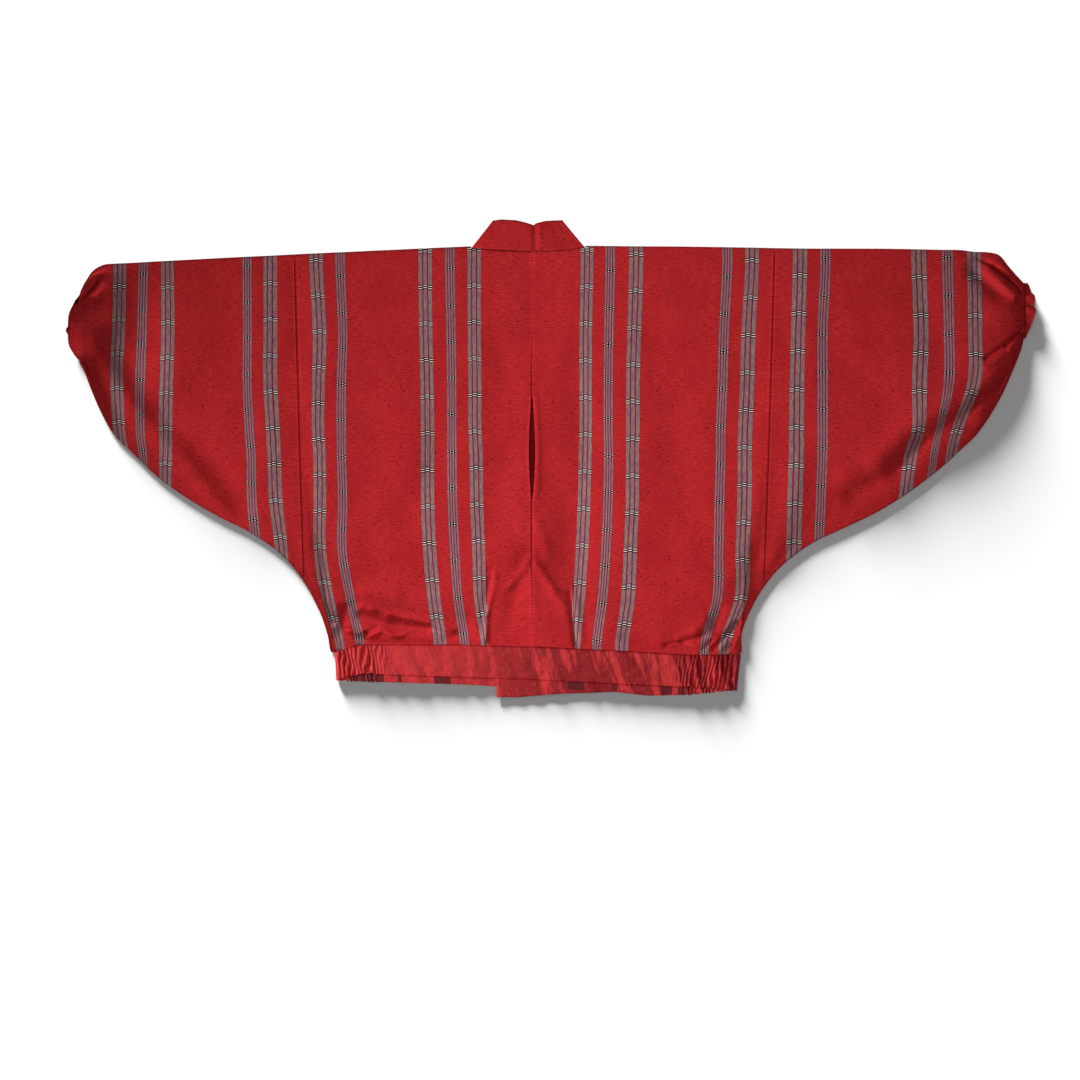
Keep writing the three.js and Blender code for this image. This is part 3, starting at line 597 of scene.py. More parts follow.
def tsumugi(name, striped, shade=0.0):
    cloth = Finish(name, Roughness=0.9, Specular_IOR_Level=0.0)
    if striped:
        spot = cloth.node("ShaderNodeAttribute", dict(attribute_name="cloth"), {}, out=1)
    else:
        spot = cloth.object_place()
    across, along, beat = cloth.split(spot)

    def grain(wide, long, scale=1.0, detail=2.0, shift=0.0):
        return cloth.noise(cloth.place(across / wide, along / long + shift, shift), scale, detail)

    patchy = cloth.band(grain(34.0, 26.0, shift=9.0), 0.38, 0.62, 0.35, 1.0)
    slubs = cloth.band(grain(5.5, 1.5, shift=3.1), 0.61, 0.68) * patchy
    pale_slubs = cloth.band(grain(9.0, 1.5, shift=17.7), 0.64, 0.74)
    threads = grain(9.0, 1.5, detail=3.0, shift=40.0)
    warp = grain(1.4, 16.0, detail=2.0, shift=61.0)
    mottle = grain(46.0, 60.0, detail=2.0, shift=80.0)
    red = cloth.blend(paint(163, 32, 36), paint(194, 46, 48), cloth.band(threads, 0.3, 0.7))
    red = cloth.blend(red, paint(166, 34, 38), cloth.band(warp, 0.4, 0.7, 0.0, 0.6))
    red = cloth.blend(red, paint(158, 29, 35), cloth.band(mottle, 0.35, 0.7, 0.0, 0.4))
    red = cloth.blend(red, paint(210, 72, 70), pale_slubs * 0.3)
    colour = cloth.blend(red, paint(60, 8, 14), slubs * 0.8)
    bump = threads * 0.35 + warp * 0.3 + slubs * 0.6
    if striped:
        wide, narrow = from_stripe(across, STRIPE_AT[::2]), from_stripe(across, STRIPE_AT[1::2])
        mark = (((beat + 0.5).fraction() - 0.5) * MARK_REPEAT) + (grain(9.0, 30.0, shift=5.0) - 0.5) * 0.9
        tint = grain(2.2, 13.0, detail=2.0, shift=11.0)
        other = grain(1.6, 18.0, detail=2.0, shift=29.0)
        flecks = grain(3.2, 1.2, detail=2.0, shift=47.0)
        grey = cloth.blend(paint(120, 98, 114), paint(144, 120, 108), cloth.band(tint, 0.42, 0.58))
        grey = cloth.blend(grey, paint(146, 74, 84), cloth.band(other, 0.5, 0.68, 0.0, 0.5))
        grey = cloth.blend(grey, paint(70, 48, 60), cloth.band(flecks, 0.5, 0.72, 0.0, 0.5))
        grey = cloth.blend(grey, paint(164, 140, 138), cloth.band(flecks, 0.45, 0.3, 0.0, 0.4))
        # wide stripe: three bars with dark red lines between them
        bar = wide.least(abs(wide - BARS))
        in_bar = cloth.band(bar, 2.3, 2.8, 1.0, 0.0)
        in_wide = cloth.band(wide, 9.4, 10.2, 1.0, 0.0)
        colour = cloth.blend(colour, paint(122, 24, 42), in_wide * 0.85)
        colour = cloth.blend(colour, grey, in_bar)
        dashes = mark + cloth.band(wide, 3.6, 3.3) * 1.6
        wave = (dashes * (2 * math.pi / DASHES)).cosine()
        near = cloth.band(abs(dashes), 3.3, 3.8, 1.0, 0.0)
        in_dash = cloth.band(bar, 2.5, 3.0, 1.0, 0.0) * in_wide
        colour = cloth.blend(colour, paint(26, 4, 10), near * in_wide * cloth.band(wave, -0.9, 0.3, 0.8, 1.0))
        colour = cloth.blend(colour, paint(255, 236, 230), cloth.band(wave, -0.55, -0.8) * near * in_dash)
        # narrow stripe: four fine pale lines, mauve inside
        in_narrow = cloth.band(narrow, 7.0, 7.6, 1.0, 0.0)
        lines = (narrow * (2 * math.pi / FINE_LINES)).cosine()
        mauve = cloth.blend(grey, paint(150, 96, 108), cloth.band(narrow, 3.2, 4.2, 0.5, 0.1))
        dark = cloth.blend(paint(128, 38, 58), paint(98, 34, 54), cloth.band(flecks, 0.4, 0.6))
        fine = cloth.blend(dark, mauve, cloth.band(lines, 0.6, 0.1))
        colour = cloth.blend(colour, fine, in_narrow)
        checks = (mark * (2 * math.pi / CHECKS)).cosine()
        checks = checks * (narrow * (2 * math.pi / (2 * FINE_LINES)) + 0.785).cosine()
        close = cloth.band(abs(mark), 2.7, 3.2, 1.0, 0.0) * in_narrow
        colour = cloth.blend(colour, paint(38, 10, 22), close * 0.85)
        pale = cloth.band(checks, 0.1, 0.35) * cloth.band(lines, 0.3, -0.2) * close
        colour = cloth.blend(colour, paint(236, 214, 206), pale)
        # painted shade in the sunken lines of the armhole seam and of the centre seam below the pleat
        armhole_seam_shade = cloth.band(across, 0.4, 1.3, 1.0, 0.0)
        centre_seam_shade = cloth.band(abs(across - CLOTH_WIDTH), 0.3, 1.2, 1.0, 0.0)
        centre_seam_shade = centre_seam_shade * cloth.band(along, 366.0, 374.0, 0.25, 1.0)
        colour = cloth.blend(colour, paint(60, 6, 12), (armhole_seam_shade * 0.4).most(centre_seam_shade) * 0.5)
        bump = bump + in_bar * 0.4
    # painted shade: the whole finish is darkened by this share
    if shade:
        colour = cloth.blend(colour, paint(40, 4, 10), shade)
    return cloth.finish(colour, bump, depth=0.00025)


STRIPED = tsumugi("striped tsumugi", True)
# the collar and cuffs: plain tsumugi, a little darkened with painted shade
PLAIN = tsumugi("plain tsumugi", False, shade=0.1)
# the ply inside the pleat: tsumugi darkened strongly with painted shade
SHADED = tsumugi("tsumugi inside the pleat", False, shade=0.85)
print("finishes:", STRIPED.name, "and", PLAIN.name)

# %% [markdown]
# ## The silk of the hem band
#
# The hem band is a plain silk with a soft sheen, creased where it was pressed. The light and shade of
# its folds are painted into the colour as lighter and darker patches with ragged edges, the dark ones
# stronger towards the right, and a fine crackle of painted light and shade runs over them. Less
# roughness than on the tsumugi catches the light on the gathers. Where the silk turns in at the lower
# edge, painted shade darkens its deepest folds, and the third part of the attribute says where.

# %% Silk with patches and crackle of painted light and shade
def silk(name):
    cloth = Finish(name, Roughness=0.55, Specular_IOR_Level=0.12)
    spot = cloth.node("ShaderNodeAttribute", dict(attribute_name="cloth"), {}, out=1)
    x, y, painted_shade_share = cloth.split(spot)

    def grain(wide, long, shift):
        return cloth.noise(cloth.place(x / wide, y / long + shift, shift), 1.0)

    lean = x + y * 0.3
    broad_painted_shade = cloth.noise(cloth.place(lean / 17.0, y / 140.0, 14.0), 1.0)
    patches, crackle = grain(7.0, 40.0, 3.0), grain(2.0, 7.0, 31.0)
    weft = grain(9.0, 1.3, 52.0)
    side = cloth.band(x, -150.0, 60.0, 0.3, 1.0)
    # painted shade of the folds: broad and small dark patches, stronger towards the right
    colour = cloth.blend(paint(188, 44, 46), paint(134, 18, 25), cloth.band(broad_painted_shade, 0.46, 0.53) * side)
    colour = cloth.blend(colour, paint(138, 20, 27), cloth.band(patches, 0.55, 0.64, 0.0, 0.7) * side)
    # painted highlight and painted shade along the fine crackle
    colour = cloth.blend(colour, paint(204, 68, 64), cloth.band(crackle, 0.56, 0.7, 0.0, 0.45))
    colour = cloth.blend(colour, paint(128, 18, 25), cloth.band(crackle, 0.42, 0.32, 0.0, 0.6))
    colour = cloth.blend(colour, paint(146, 20, 28), cloth.band(weft, 0.55, 0.72, 0.0, 0.35))
    # painted shade in the deepest folds where the front turns in, with ragged edges
    ragged_painted_shade = cloth.band(painted_shade_share + (patches - 0.5) * 0.8 + (crackle - 0.5) * 0.5, 0.35, 0.6)
    colour = cloth.blend(colour, paint(78, 14, 22), ragged_painted_shade * 0.85)
    return cloth.finish(colour, crackle * 0.8 + patches * 1.2 + weft * 0.3, depth=0.0004)


SILK = silk("hem silk")
print("finish:", SILK.name)

# %% [markdown]
# ## The back layer
#
# Laid down with air inside, a panel rises from its lower outline to a crest a third of the way up, and
# sinks to the shoulder fold. The lines of the cloth bend as they near the hem, which is narrower. The
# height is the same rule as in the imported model, with the creases added.

# %% Points of the back layer, and of the folds at its ends
PEAK = 0.36
PLEAT = dict(top=-212.0, bottom=-370.0, widest=-299.0, gape=9.2)


def outward(half, s, end):
    """Direction out of the outline at row s."""
    e = 0.05
    step = through(half.rows, s + e) - through(half.rows, s - e)
    dx, dy = (step[:, TOP_X], step[:, TOP_Y]) if end == "top" else (step[:, LOW_X], step[:, LOW_Y])
    turn = 1 if end == "top" else -1
    out = np.stack([-dy * turn, dx * turn], -1)
    return out / np.linalg.norm(out, axis=-1, keepdims=True)


def outline_end(half, s, end, folded=None):
    """The end of the back layer at row s: on the outline, or drawn in by the radius of its fold."""
    row = through(half.rows, s)
    point = row[:, [TOP_X, TOP_Y]] if end == "top" else row[:, [LOW_X, LOW_Y]]
    if folded is None:
        folded = smooth(NECK - 0.6, NECK, s) if end == "top" else smooth(CORNER - 0.5, CORNER, s)
    return point - outward(half, s, end) * FOLD * np.asarray(folded)[..., None]


def gape(y):
    far = np.where(y > PLEAT["widest"], PLEAT["top"], PLEAT["bottom"])
    half_width = PLEAT["gape"] / 2 * (1 - ((y - PLEAT["widest"]) / (far - PLEAT["widest"])) ** 2)
    return np.where((y > PLEAT["top"]) | (y < PLEAT["bottom"]), 0.0, half_width)


def back_height(row, w):
    rise = mix(row[:, [LOW_Z]], row[:, [CREST]], np.sin(np.pi / 2 * np.clip(w / PEAK, 0, 1)))
    fall = mix(FOLD_TOP, row[:, [CREST]], np.cos(np.pi / 2 * np.clip((w - PEAK) / (1 - PEAK), 0, 1)))
    return np.where(w < PEAK, rise, fall)


def back_layer(half, s, w, drop=0.0, bulge=None):
    """A grid of points of the back, at rows s and heights w, from 0 at the lower outline to 1."""
    row = through(half.rows, s)
    low, top = outline_end(half, s, "low"), outline_end(half, s, "top")
    w = np.broadcast_to(w, (len(s), len(w)))
    power = mix(2.0, 1.0, smooth(ARMHOLE - 1, ARMHOLE, s))[:, None]
    bend = np.where((s < ARMHOLE)[:, None], (1 - w) ** power, 1 - w)
    x = mix(top[:, [0]], low[:, [0]], bend)
    y = mix(low[:, [1]], top[:, [1]], w)
    calm = smooth(0, mix(0.02, 0.06, smooth(CORNER - 1, CORNER + 1, s))[:, None], w) * smooth(0, 0.05, 1 - w)
    tip = smooth(0, 6 if half.puff else 3, half.last - s)[:, None]
    z = back_height(row, w) + calm * tip * (relief(half.sign * x, y) + 0.9 * crumple(half.sign * x, y, 60, 4))
    z = np.maximum(z, FLOOR + 2.4)
    step = np.clip((TUCK + 0.35 - s) / 0.5, 0, 1)[:, None] * smooth(0, 1.0, s)[:, None]
    z = z + 1.7 * step * (1 - smooth(0, half.tuck_height, y - low[:, [1]]))
    if bulge is not None:
        x = x + bulge[:, None] * (1 - np.abs(2 * w - 1) ** 4.5)
    return np.stack([half.sign * x, y, z - drop], -1)


def fold_arc(half, s, end, steps):
    """The soft fold round the end of the rows, from the back layer to the front one."""
    out, edge = outward(half, s, end), through(half.rows, s)
    edge = edge[:, [TOP_X, TOP_Y]] if end == "top" else edge[:, [LOW_X, LOW_Y]]
    angle = np.pi / 2 - np.pi * np.linspace(0, 1, steps + 1)
    flat = edge[:, None] + out[:, None] * (FOLD * (np.cos(angle) - 1))[None, :, None]
    z = np.broadcast_to(FLOOR + FOLD + FOLD * np.sin(angle), flat.shape[:2])
    return np.stack([half.sign * flat[..., 0], flat[..., 1], z], -1)


# %% [markdown]
# ## The front layer
#
# The fronts lie flat on the floor. Each is cut away at a slant from the neck to the hem, where its
# collar is sewn on, and the right one climbs over the left one beside it.

# %% Points of the front layer
OVERLAP, COLLAR = 51.0, 45.5
PAST = OVERLAP - COLLAR - SEAM
BAND_LEFT = np.array([[-285, -587.5, -628], [-240, -587.5, -630], [-100, -587.5, -634], [-50, -587.5, -637],
                      [51, -587.5, -639]])
BAND_RIGHT = np.array([[-51, -601, -652.5], [-18, -600, -652.5], [40, -598.2, -647.5], [120, -595.8, -645],
                       [170, -594.3, -650.5], [230, -592.5, -649], [302, -590.4, -642]])
BAND_BACK = np.array([[-285, -587.5, -628], [-268, -581.5, -623], [-246, -577, -618.5],
                      [-215, -576.5, -619.5], [-104, -577, -623.5], [0, -579.5, -627],
                      [112, -585.1, -632.5], [150, -587.1, -634.5], [190, -589.6, -636.3],
                      [228, -591.6, -638], [262, -591.6, -639.5], [284, -590.6, -641],
                      [302, -589.6, -642]])


def edge_at(table, x, column):
    return np.interp(x, table[:, 0], table[:, column])


def front_edge(half, y):
    rows = half.rows
    return half.sign * mix(rows[NECK, TOP_X], -PAST, np.minimum(1, y / rows[0, LOW_Y]))


def climb(x, y):
    """How far the right front is lifted at (x, y) by the left one under it."""
    past = x - (front_edge(left, y) + SEAM + COLLAR)
    return (BAND + SEAM) * (1 - smooth(34, 58, past))


def front_layer(half, s, f):
    bands = BAND_LEFT if half.sign < 0 else BAND_RIGHT
    top, low = outline_end(half, s, "top"), outline_end(half, s, "low")
    corner = outline_end(half, np.array([float(CORNER)]), "low", 1.0)[0]
    shoulder = outline_end(half, np.array([float(CORNER)]), "top", 1.0)[0]
    neck, side = half.rows[NECK, TOP_X], half.rows[CORNER, TOP_X]
    share = np.clip((through(half.rows, s)[:, TOP_X] - neck) / (side - neck), 0, 1)[:, None]
    hem_x = mix(-PAST, corner[0], share**1.5)
    hem_y = edge_at(bands, half.sign * hem_x, 1) + SEAM
    inner = (s <= CORNER)[:, None]
    y = mix(top[:, [1]], np.where(inner, hem_y, low[:, [1]]), f)
    within = mix(half.sign * front_edge(half, y), mix(shoulder[0], corner[0], f), share ** (1 + f / 2))
    x = half.sign * np.where(inner, within, mix(top[:, [0]], low[:, [0]], f))
    z = FLOOR + (climb(x, y) if half.sign > 0 else np.zeros_like(x))
    return np.stack([x, y, z], -1)


# %% [markdown]
# ## The body panels
#
# One length of cloth makes a front and a back, so there is no seam at the shoulder. At the centre
# back and at the armhole the edge is turned in, which shows as a fine groove. The two panels part at
# the pleat, where the ply behind it can be seen.

# %% Rows at even distances, and the two panels
def rows_between(half, first, last, step, near=()):
    """Row numbers that lie about a step apart, and closer beside the rows named in near."""
    found = []
    for i in range(first, last):
        a, b = half.rows[i], half.rows[i + 1]
        gap = max(math.hypot(b[0] - a[0], b[1] - a[1]), math.hypot(b[2] - a[2], b[3] - a[3]) * 0.6, 1.0)
        count = max(1, round(gap / step))
        found += [i + k / count for k in range(count)]
    for i, millimetres in near:
        gap = abs(half.rows[min(i, last - 1) + 1, 0] - half.rows[min(i, last - 1), 0])
        steps = [i + sign * m / gap for m in millimetres for sign in (-1, 1)]
        found += [step for step in steps if first < step < last]
    return np.array(sorted(set(found) | {float(last)}))


def turned_in(distance, depth=0.9, width=0.9):
    """How far an edge dips where its cloth is turned in at a seam."""
    return -depth * np.exp(-((distance / width) ** 2))


def placed(piece, half, grid, on_back=True):
    along = -grid[..., 1] if on_back else grid[..., 1]
    return grid, cloth_place(piece, half, half.sign * grid[..., 0], grid[..., 1], along)


def body_panel(half):
    near = [(0, (0.8, 1.8, 3)), (TUCK, (1, 2)), (ARMHOLE, (0.5, 1.1, 2))]
    s = rows_between(half, 0, ARMHOLE, 3.0, near=near)
    w = np.linspace(0, 1, 201)
    w = w * (0.62 + 0.38 * w)
    back = back_layer(half, s, w)
    out = half.sign * back[..., 0]
    inner = np.exp(-((s / 1.2) ** 2))[:, None]
    out = out + inner * (SEAM / 2 + gape(back[..., 1]))
    from_centre = out - gape(back[..., 1])
    open_here = gape(back[..., 1]) > 0.3
    lip = np.where(open_here, 1.3 if half.sign > 0 else 0.5, 0.2)
    sunk = np.where(open_here, 0.6, mix(0.25, 0.8, smooth(-300, -380, back[..., 1])))
    back[..., 2] += turned_in(from_centre, sunk, 1.5)
    back[..., 2] += lip * np.exp(-(((from_centre - 4.5) / 3) ** 2))
    if half.sign > 0:
        stand = smooth(-90, -240, back[..., 1]) * smooth(-560, -430, back[..., 1])
        ridge, trough = 2.2 * np.exp(-from_centre / 26), 5.6 * np.exp(-(((from_centre - 60) / 30) ** 2))
        back[..., 2] += stand * (ridge - trough)
    from_armhole = through(half.rows, s)[:, TOP_X][-1] - through(half.rows, s)[:, TOP_X]
    seam_dip = turned_in(from_armhole, 1.1, 0.9) + 0.35 * np.exp(-(((from_armhole - 3) / 2.2) ** 2))
    back[..., 2] += seam_dip[:, None] * smooth(0, 0.03, w) * smooth(0, 0.03, 1 - w)
    out[-1] -= SEAM / 2
    back[..., 0] = half.sign * out
    behind = s >= NECK
    front = front_layer(half, s[behind], np.linspace(0, 1, 61)[None, :])
    over = fold_arc(half, s[behind], "top", 8)
    side = s >= CORNER
    under = fold_arc(half, s[side], "low", 8)
    for grid in (front, over, under):
        grid[-1, :, 0] -= half.sign * SEAM / 2
    over[:, 0], over[:, -1] = back[behind][:, -1], front[:, 0]
    under[:, 0], under[:, -1] = back[side][:, 0], front[side[behind]][:, -1]
    patches = [placed("body", half, back), placed("body", half, over),
               placed("body", half, front, on_back=False), placed("body", half, under[:, ::-1])]
    return sheet_of(f"body_panel_{half.name}", patches, 0.9, STRIPED, flip=half.sign < 0)


panels = [body_panel(half) for half in halves]

# %% [markdown]
# ## The sleeves
#
# A batwing sleeve is folded at the shoulder and closed along the underarm. The right one narrows to
# its gathered cuff. The left one was pushed back as it was laid down, so its end puffs out and turns
# under, over the cuff.

# %% The two sleeves
def sleeve_patches(half, s, w_count=161):
    bulge = None
    if half.puff:
        bulge = np.interp(s, half.last - 7 + np.arange(8), PUFF_OVER)
    w = np.linspace(0, 1, w_count)
    back = back_layer(half, s, w, bulge=bulge)
    from_seam = np.abs(through(half.rows, s)[:, TOP_X] - half.rows[ARMHOLE, TOP_X])
    seam_dip = turned_in(from_seam, 1.1, 0.9) + 0.2 * np.exp(-(((from_seam - 3) / 2.2) ** 2))
    back[..., 2] += seam_dip[:, None] * smooth(0, 0.03, w) * smooth(0, 0.03, 1 - w)
    front = front_layer(half, s, np.linspace(0, 1, 41)[None, :])
    over, under = fold_arc(half, s, "top", 8), fold_arc(half, s, "low", 8)
    over[:, 0], over[:, -1] = back[:, -1], front[:, 0]
    under[:, 0], under[:, -1] = back[:, 0], front[:, -1]
    return [back, over, front, under[:, ::-1]]


def sleeve(half):
    s = np.concatenate([rows_between(half, ARMHOLE, half.last - 8, 3.0, near=[(ARMHOLE, (0.6, 1.4, 2.6))]),
                        rows_between(half, half.last - 8, half.last, 1.5)[1:]])
    grids = sleeve_patches(half, s)
    for grid in grids:
        grid[0, :, 0] += half.sign * SEAM / 2
        level = smooth(half.last - 1, half.last, s)[:, None]
        grid[..., 2] = np.maximum(grid[..., 2], mix(0.0, BAND_FLOOR, level))
        grid[-1, :, 0] = half.sign * half.rows[half.last, TOP_X]
    patches = [placed("sleeve", half, grid, on_back=k != 2) for k, grid in enumerate(grids)]
    return sheet_of(f"sleeve_{half.name}_cloth", patches, 0.9, STRIPED, flip=half.sign < 0)


sleeves = [sleeve(half) for half in halves]

# %% [markdown]
# ## The cuffs
#
# A cuff is a casing with elastic in it, which draws the sleeve's end into lobes. It starts from the
# sleeve's last ring, so the two meet at a seam, and swells between its gathers.

# %% The two cuffs
def cuff(half, length=13.2, lobes=8, depth=1.9, phase=0.3):
    back, over, front, under = sleeve_patches(half, np.array([float(half.last)]), 61)
    ring = np.concatenate([back[0, :-1], over[0, :-1], front[0, :-1], under[0, ::-1][:-1]])
    ring[:, 2] = np.maximum(ring[:, 2], BAND_FLOOR)
    parts = np.linalg.norm(np.roll(ring, -1, 0) - ring, axis=1)
    turn = np.cumsum(parts)
    even = np.linspace(0, turn[-1], 241)[:-1]
    loop = np.concatenate([[0], turn])
    ring = np.stack([np.interp(even, loop, np.append(ring[:, k], ring[0, k])) for k in range(3)], -1)
    turn = even / turn[-1]
    last = half.rows[half.last]
    middle, half_width = (last[TOP_Y] + last[LOW_Y]) / 2, (last[TOP_Y] - last[LOW_Y]) / 2
    share = (ring[:, 1] - middle) / half_width
    away = np.stack([ring[:, 1] - middle, ring[:, 2] - FOLD_TOP], -1)
    away /= np.linalg.norm(away, axis=1, keepdims=True)
    below = smooth(0, 0.3, 1 - np.abs(share)) * (1.0 if half.puff else 0.0)
    lines = []
    for along in np.linspace(0, 1, 13):
        full = math.sin(math.pi * (0.08 + 0.6 * along)) * float(smooth(0, 0.2, along))
        wave = np.cos(2 * np.pi * (lobes * turn + phase) + 0.5 * np.sin(6 * np.pi * turn + 2 * along))
        rounded = np.sign(wave) * np.abs(wave) ** 0.8
        calm = smooth(0.0, 0.3, 1 - share) * smooth(-1, -0.4 if half.puff else 0.2, share)
        lobe = depth * full * rounded * calm
        small = 0.25 * full * np.cos(2 * np.pi * 31 * turn + 3 * along)
        reach = length * (1 - 0.75 * np.abs(share) ** 3) + 0.8 * lobe
        hidden = 14 * (1 - np.abs(share)) if half.puff else 16 * (1 + share)
        reach = np.minimum(reach, hidden + 0.6)
        x = last[TOP_X] + 0.3 + reach * along
        z = ring[:, 2] + away[:, 1] * (lobe + small) - below * ((CLOTH + BAND) / 2 + SEAM + 3 * along)
        y = ring[:, 1] + away[:, 0] * (lobe + small)
        lines.append(np.stack([half.sign * x, y, np.maximum(z, BAND_FLOOR)], -1))
    grid = np.stack(lines)
    grid = np.concatenate([grid, grid[:, :1]], 1)
    return sheet_of(f"cuff_{half.name}_casing", [(grid, np.zeros(3))], 1.6, PLAIN, flip=half.sign < 0)


cuffs = [cuff(half) for half in halves]

# %% [markdown]
# ## The ply behind the pleat
#
# The centre back is a pleat that was left open between two seams. Behind it lies a second ply, which
# shows as a dark spindle, because its finish is darkened with painted shade for the shade in the pleat.
# It is made from the points of both panels, laid a little lower.

# %% The pleat's second ply
def pleat_ply():
    w = np.linspace(0, 1, 121)
    s = np.linspace(0, 1, 5)
    outer = back_layer(left, s[::-1], w, drop=CLOTH + SEAM)
    inner = back_layer(right, s[1:], w, drop=CLOTH + SEAM)
    grid = np.concatenate([outer, inner])
    return sheet_of("pleat_ply", [(grid, np.zeros(3))], 0.9, SHADED)


ply = pleat_ply()

# %% [markdown]
# ## The hem band
#
# The band is one strip of silk, doubled, with elastic at both sides. Where the elastic draws it in,
# the silk stands in narrow ridges that wander and fork, and its lower edge is scalloped. It runs from
# the left front round the side, along the back, and round to the right front.

# %% The hem band with its gathers
def hem_level(x):
    """Height of the back's lower edge above the floor."""
    ends = [half.rows[:CORNER, [LOW_X, LOW_Z]].T for half in halves]
    return np.where(x < 0, np.interp(-x, *ends[0]), np.interp(x, *ends[1]))


def gathered(x):
    return smooth(204, 239, np.abs(x))


def gathers(x, q, seed):
    """Ridges across the band: narrow, uneven, and wandering from the upper edge to the lower."""
    draw = np.random.default_rng(seed)
    a, b, c, d = draw.uniform(0, 6.28, 4)
    far = np.abs(x)
    phase = 2 * np.pi * far / 6.9 + 1.5 * np.sin(far / 8.3 + a + 1.3 * q)
    phase = phase + 1.2 * np.sin(far / 4.1 + 3.4 * q + b)
    phase = phase + 0.9 * np.sin(5.5 * q + far / 5.0 + d) + 0.7 * np.sin(11 * q + far / 2.9 + b)
    swell = 0.8 + 0.45 * np.sin(far / 5.1 + c + 2.5 * q)
    wave = np.cos(phase)
    return gathered(x) * swell * np.sign(wave) * np.abs(wave) ** 0.7


PAINTED_SHADE_SPANS = np.array([[-266, -216, 1.0], [-196, -188, 0.6], [-142, -118, 0.7], [52, 75, 1.0], [117, 123, 0.9],
                 [186, 203, 1.0], [213, 228, 1.0]])  # where painted shade darkens the deepest folds of the front's silk as it turns in


def painted_fold_shade(x, y):
    """How much painted shade darkens the front of the band, below the back's lower edge."""
    inside = np.zeros_like(x)
    for start, end, depth in PAINTED_SHADE_SPANS:
        fold = depth * smooth(start - 2, start + 1, x) * (1 - smooth(end - 1, end + 2, x))
        inside = np.maximum(inside, fold)
    under = smooth(-14, -10, y - edge_at(BAND_BACK, x, 2))
    return inside * under


def band_strip(x, seed, table, height, front=False):
    q = np.linspace(0, 1, 25)[None, :]
    x = x[:, None] + 0 * q
    slant = np.where(x < 0, -left.band_slant, right.band_slant)
    upper, lower = edge_at(table, x, 1), edge_at(table, x, 2)
    y = mix(upper, lower, q) + 1.3 * gathers(x, q, seed) * smooth(0.5, 1, q)
    z = height(x, y, q)
    # on the front, the third part of the place is the share of painted shade
    shade = painted_fold_shade(x, y) if front else 0 * x
    x = x - slant * q * gathered(x)
    return np.stack([x, y, z], -1), np.stack([x, y, shade], -1)


def band_places(start, end):
    way = 1 if end > start else -1
    found = [start]
    while way * (end - found[-1]) > 1.2:
        found.append(found[-1] + way * (0.95 if abs(found[-1]) > 200 else 1.9))
    return np.array(found + [end])


def hem_band():
    turn = 3.4
    left_end, right_end = turn - left.band_end, right.band_end - turn

    def facets(x, y, q):
        """Pressed folds that lean, with a ridge between the flat parts."""
        pressed = 2.6 * np.abs(crumple(x + 0.4 * y, 0.3 * y, 44, 12))
        return (pressed + 0.8 * crumple(x, y, 17, 21)) * (1 - gathered(x))

    def back_z(x, y, q):
        level = hem_level(x)
        end = np.where(x < 0, left.band_end, right.band_end)
        inner = smooth(turn, 34, end - np.abs(x))
        sunk = -1.1 * np.exp(-((q / 0.05) ** 2))
        return mix(BAND_FLOOR + 2 * turn, level, inner) + 2.3 * gathers(x, q, 5) + facets(x, y, q) + sunk

    def front_z(x, y, q):
        lift = 1.1 * (gathered(x) + gathers(x, q, 9)) + 0.7 * facets(x, y, q)
        return BAND_FLOOR + np.maximum(lift, 0)

    def over_z(x, y, q):
        return front_z(x, y, q) + climb(x, y)

    def fold(half, table):
        lines = []
        for a in np.linspace(-np.pi / 2, np.pi / 2, 11)[1:-1]:
            x = np.array([half.sign * (half.band_end + turn * (math.cos(a) - 1))])
            z = BAND_FLOOR + turn * (1 + math.sin(a))
            lines.append(band_strip(x, 5, table, lambda x, y, q: z + 0.8 * gathers(x, q + 0.3 * a, 5)))
        return [np.concatenate(part) for part in zip(*lines)]

    strips = [
        band_strip(band_places(OVERLAP, left_end), 9, BAND_LEFT, front_z, front=True),
        fold(left, BAND_LEFT),
        band_strip(band_places(left_end, right_end), 5, BAND_BACK, back_z),
        [part[::-1] for part in fold(right, BAND_RIGHT)],
        band_strip(band_places(right_end, -OVERLAP), 9, BAND_RIGHT, over_z, front=True),
    ]
    grid, place = (np.concatenate([strip[k] for strip in strips])[::-1] for k in (0, 1))
    grid[..., 2] = np.maximum(grid[..., 2], BAND_FLOOR)
    return sheet_of("hem_band_silk", [(grid, place)], 1.5, SILK)


band = hem_band()

# %% [markdown]
# ## The collar
#
# The collar is one long doubled strip. It runs up each front from the hem band, folds at the side of
# the neck and stands up behind it, where the jacket laid on its front shows a low arch with a crease
# at the centre.

# %% The collar from hem to hem
COLLAR_FOOT = {-1: (-87.2, -2.0), 1: (76.2, -1.5)}
COLLAR_TIP = {-1: (-56.0, 38.0), 1: (43.0, 38.5)}
COLLAR_TOP = np.array([[-56, 38], [-45, 39.5], [-24, 38.5], [-8, 34.8], [2.5, 31], [6, 34], [20, 37.5],
                       [43, 38.5]])


def collar_line(seam, free, height, count=15):
    q = np.linspace(0, 1, count)
    x, y = mix(seam[0], free[0], q), mix(seam[1], free[1], q)
    return np.stack([x, y, height(x, y) - 0.5 * np.exp(-(((1 - q) / 0.05) ** 2))], -1)


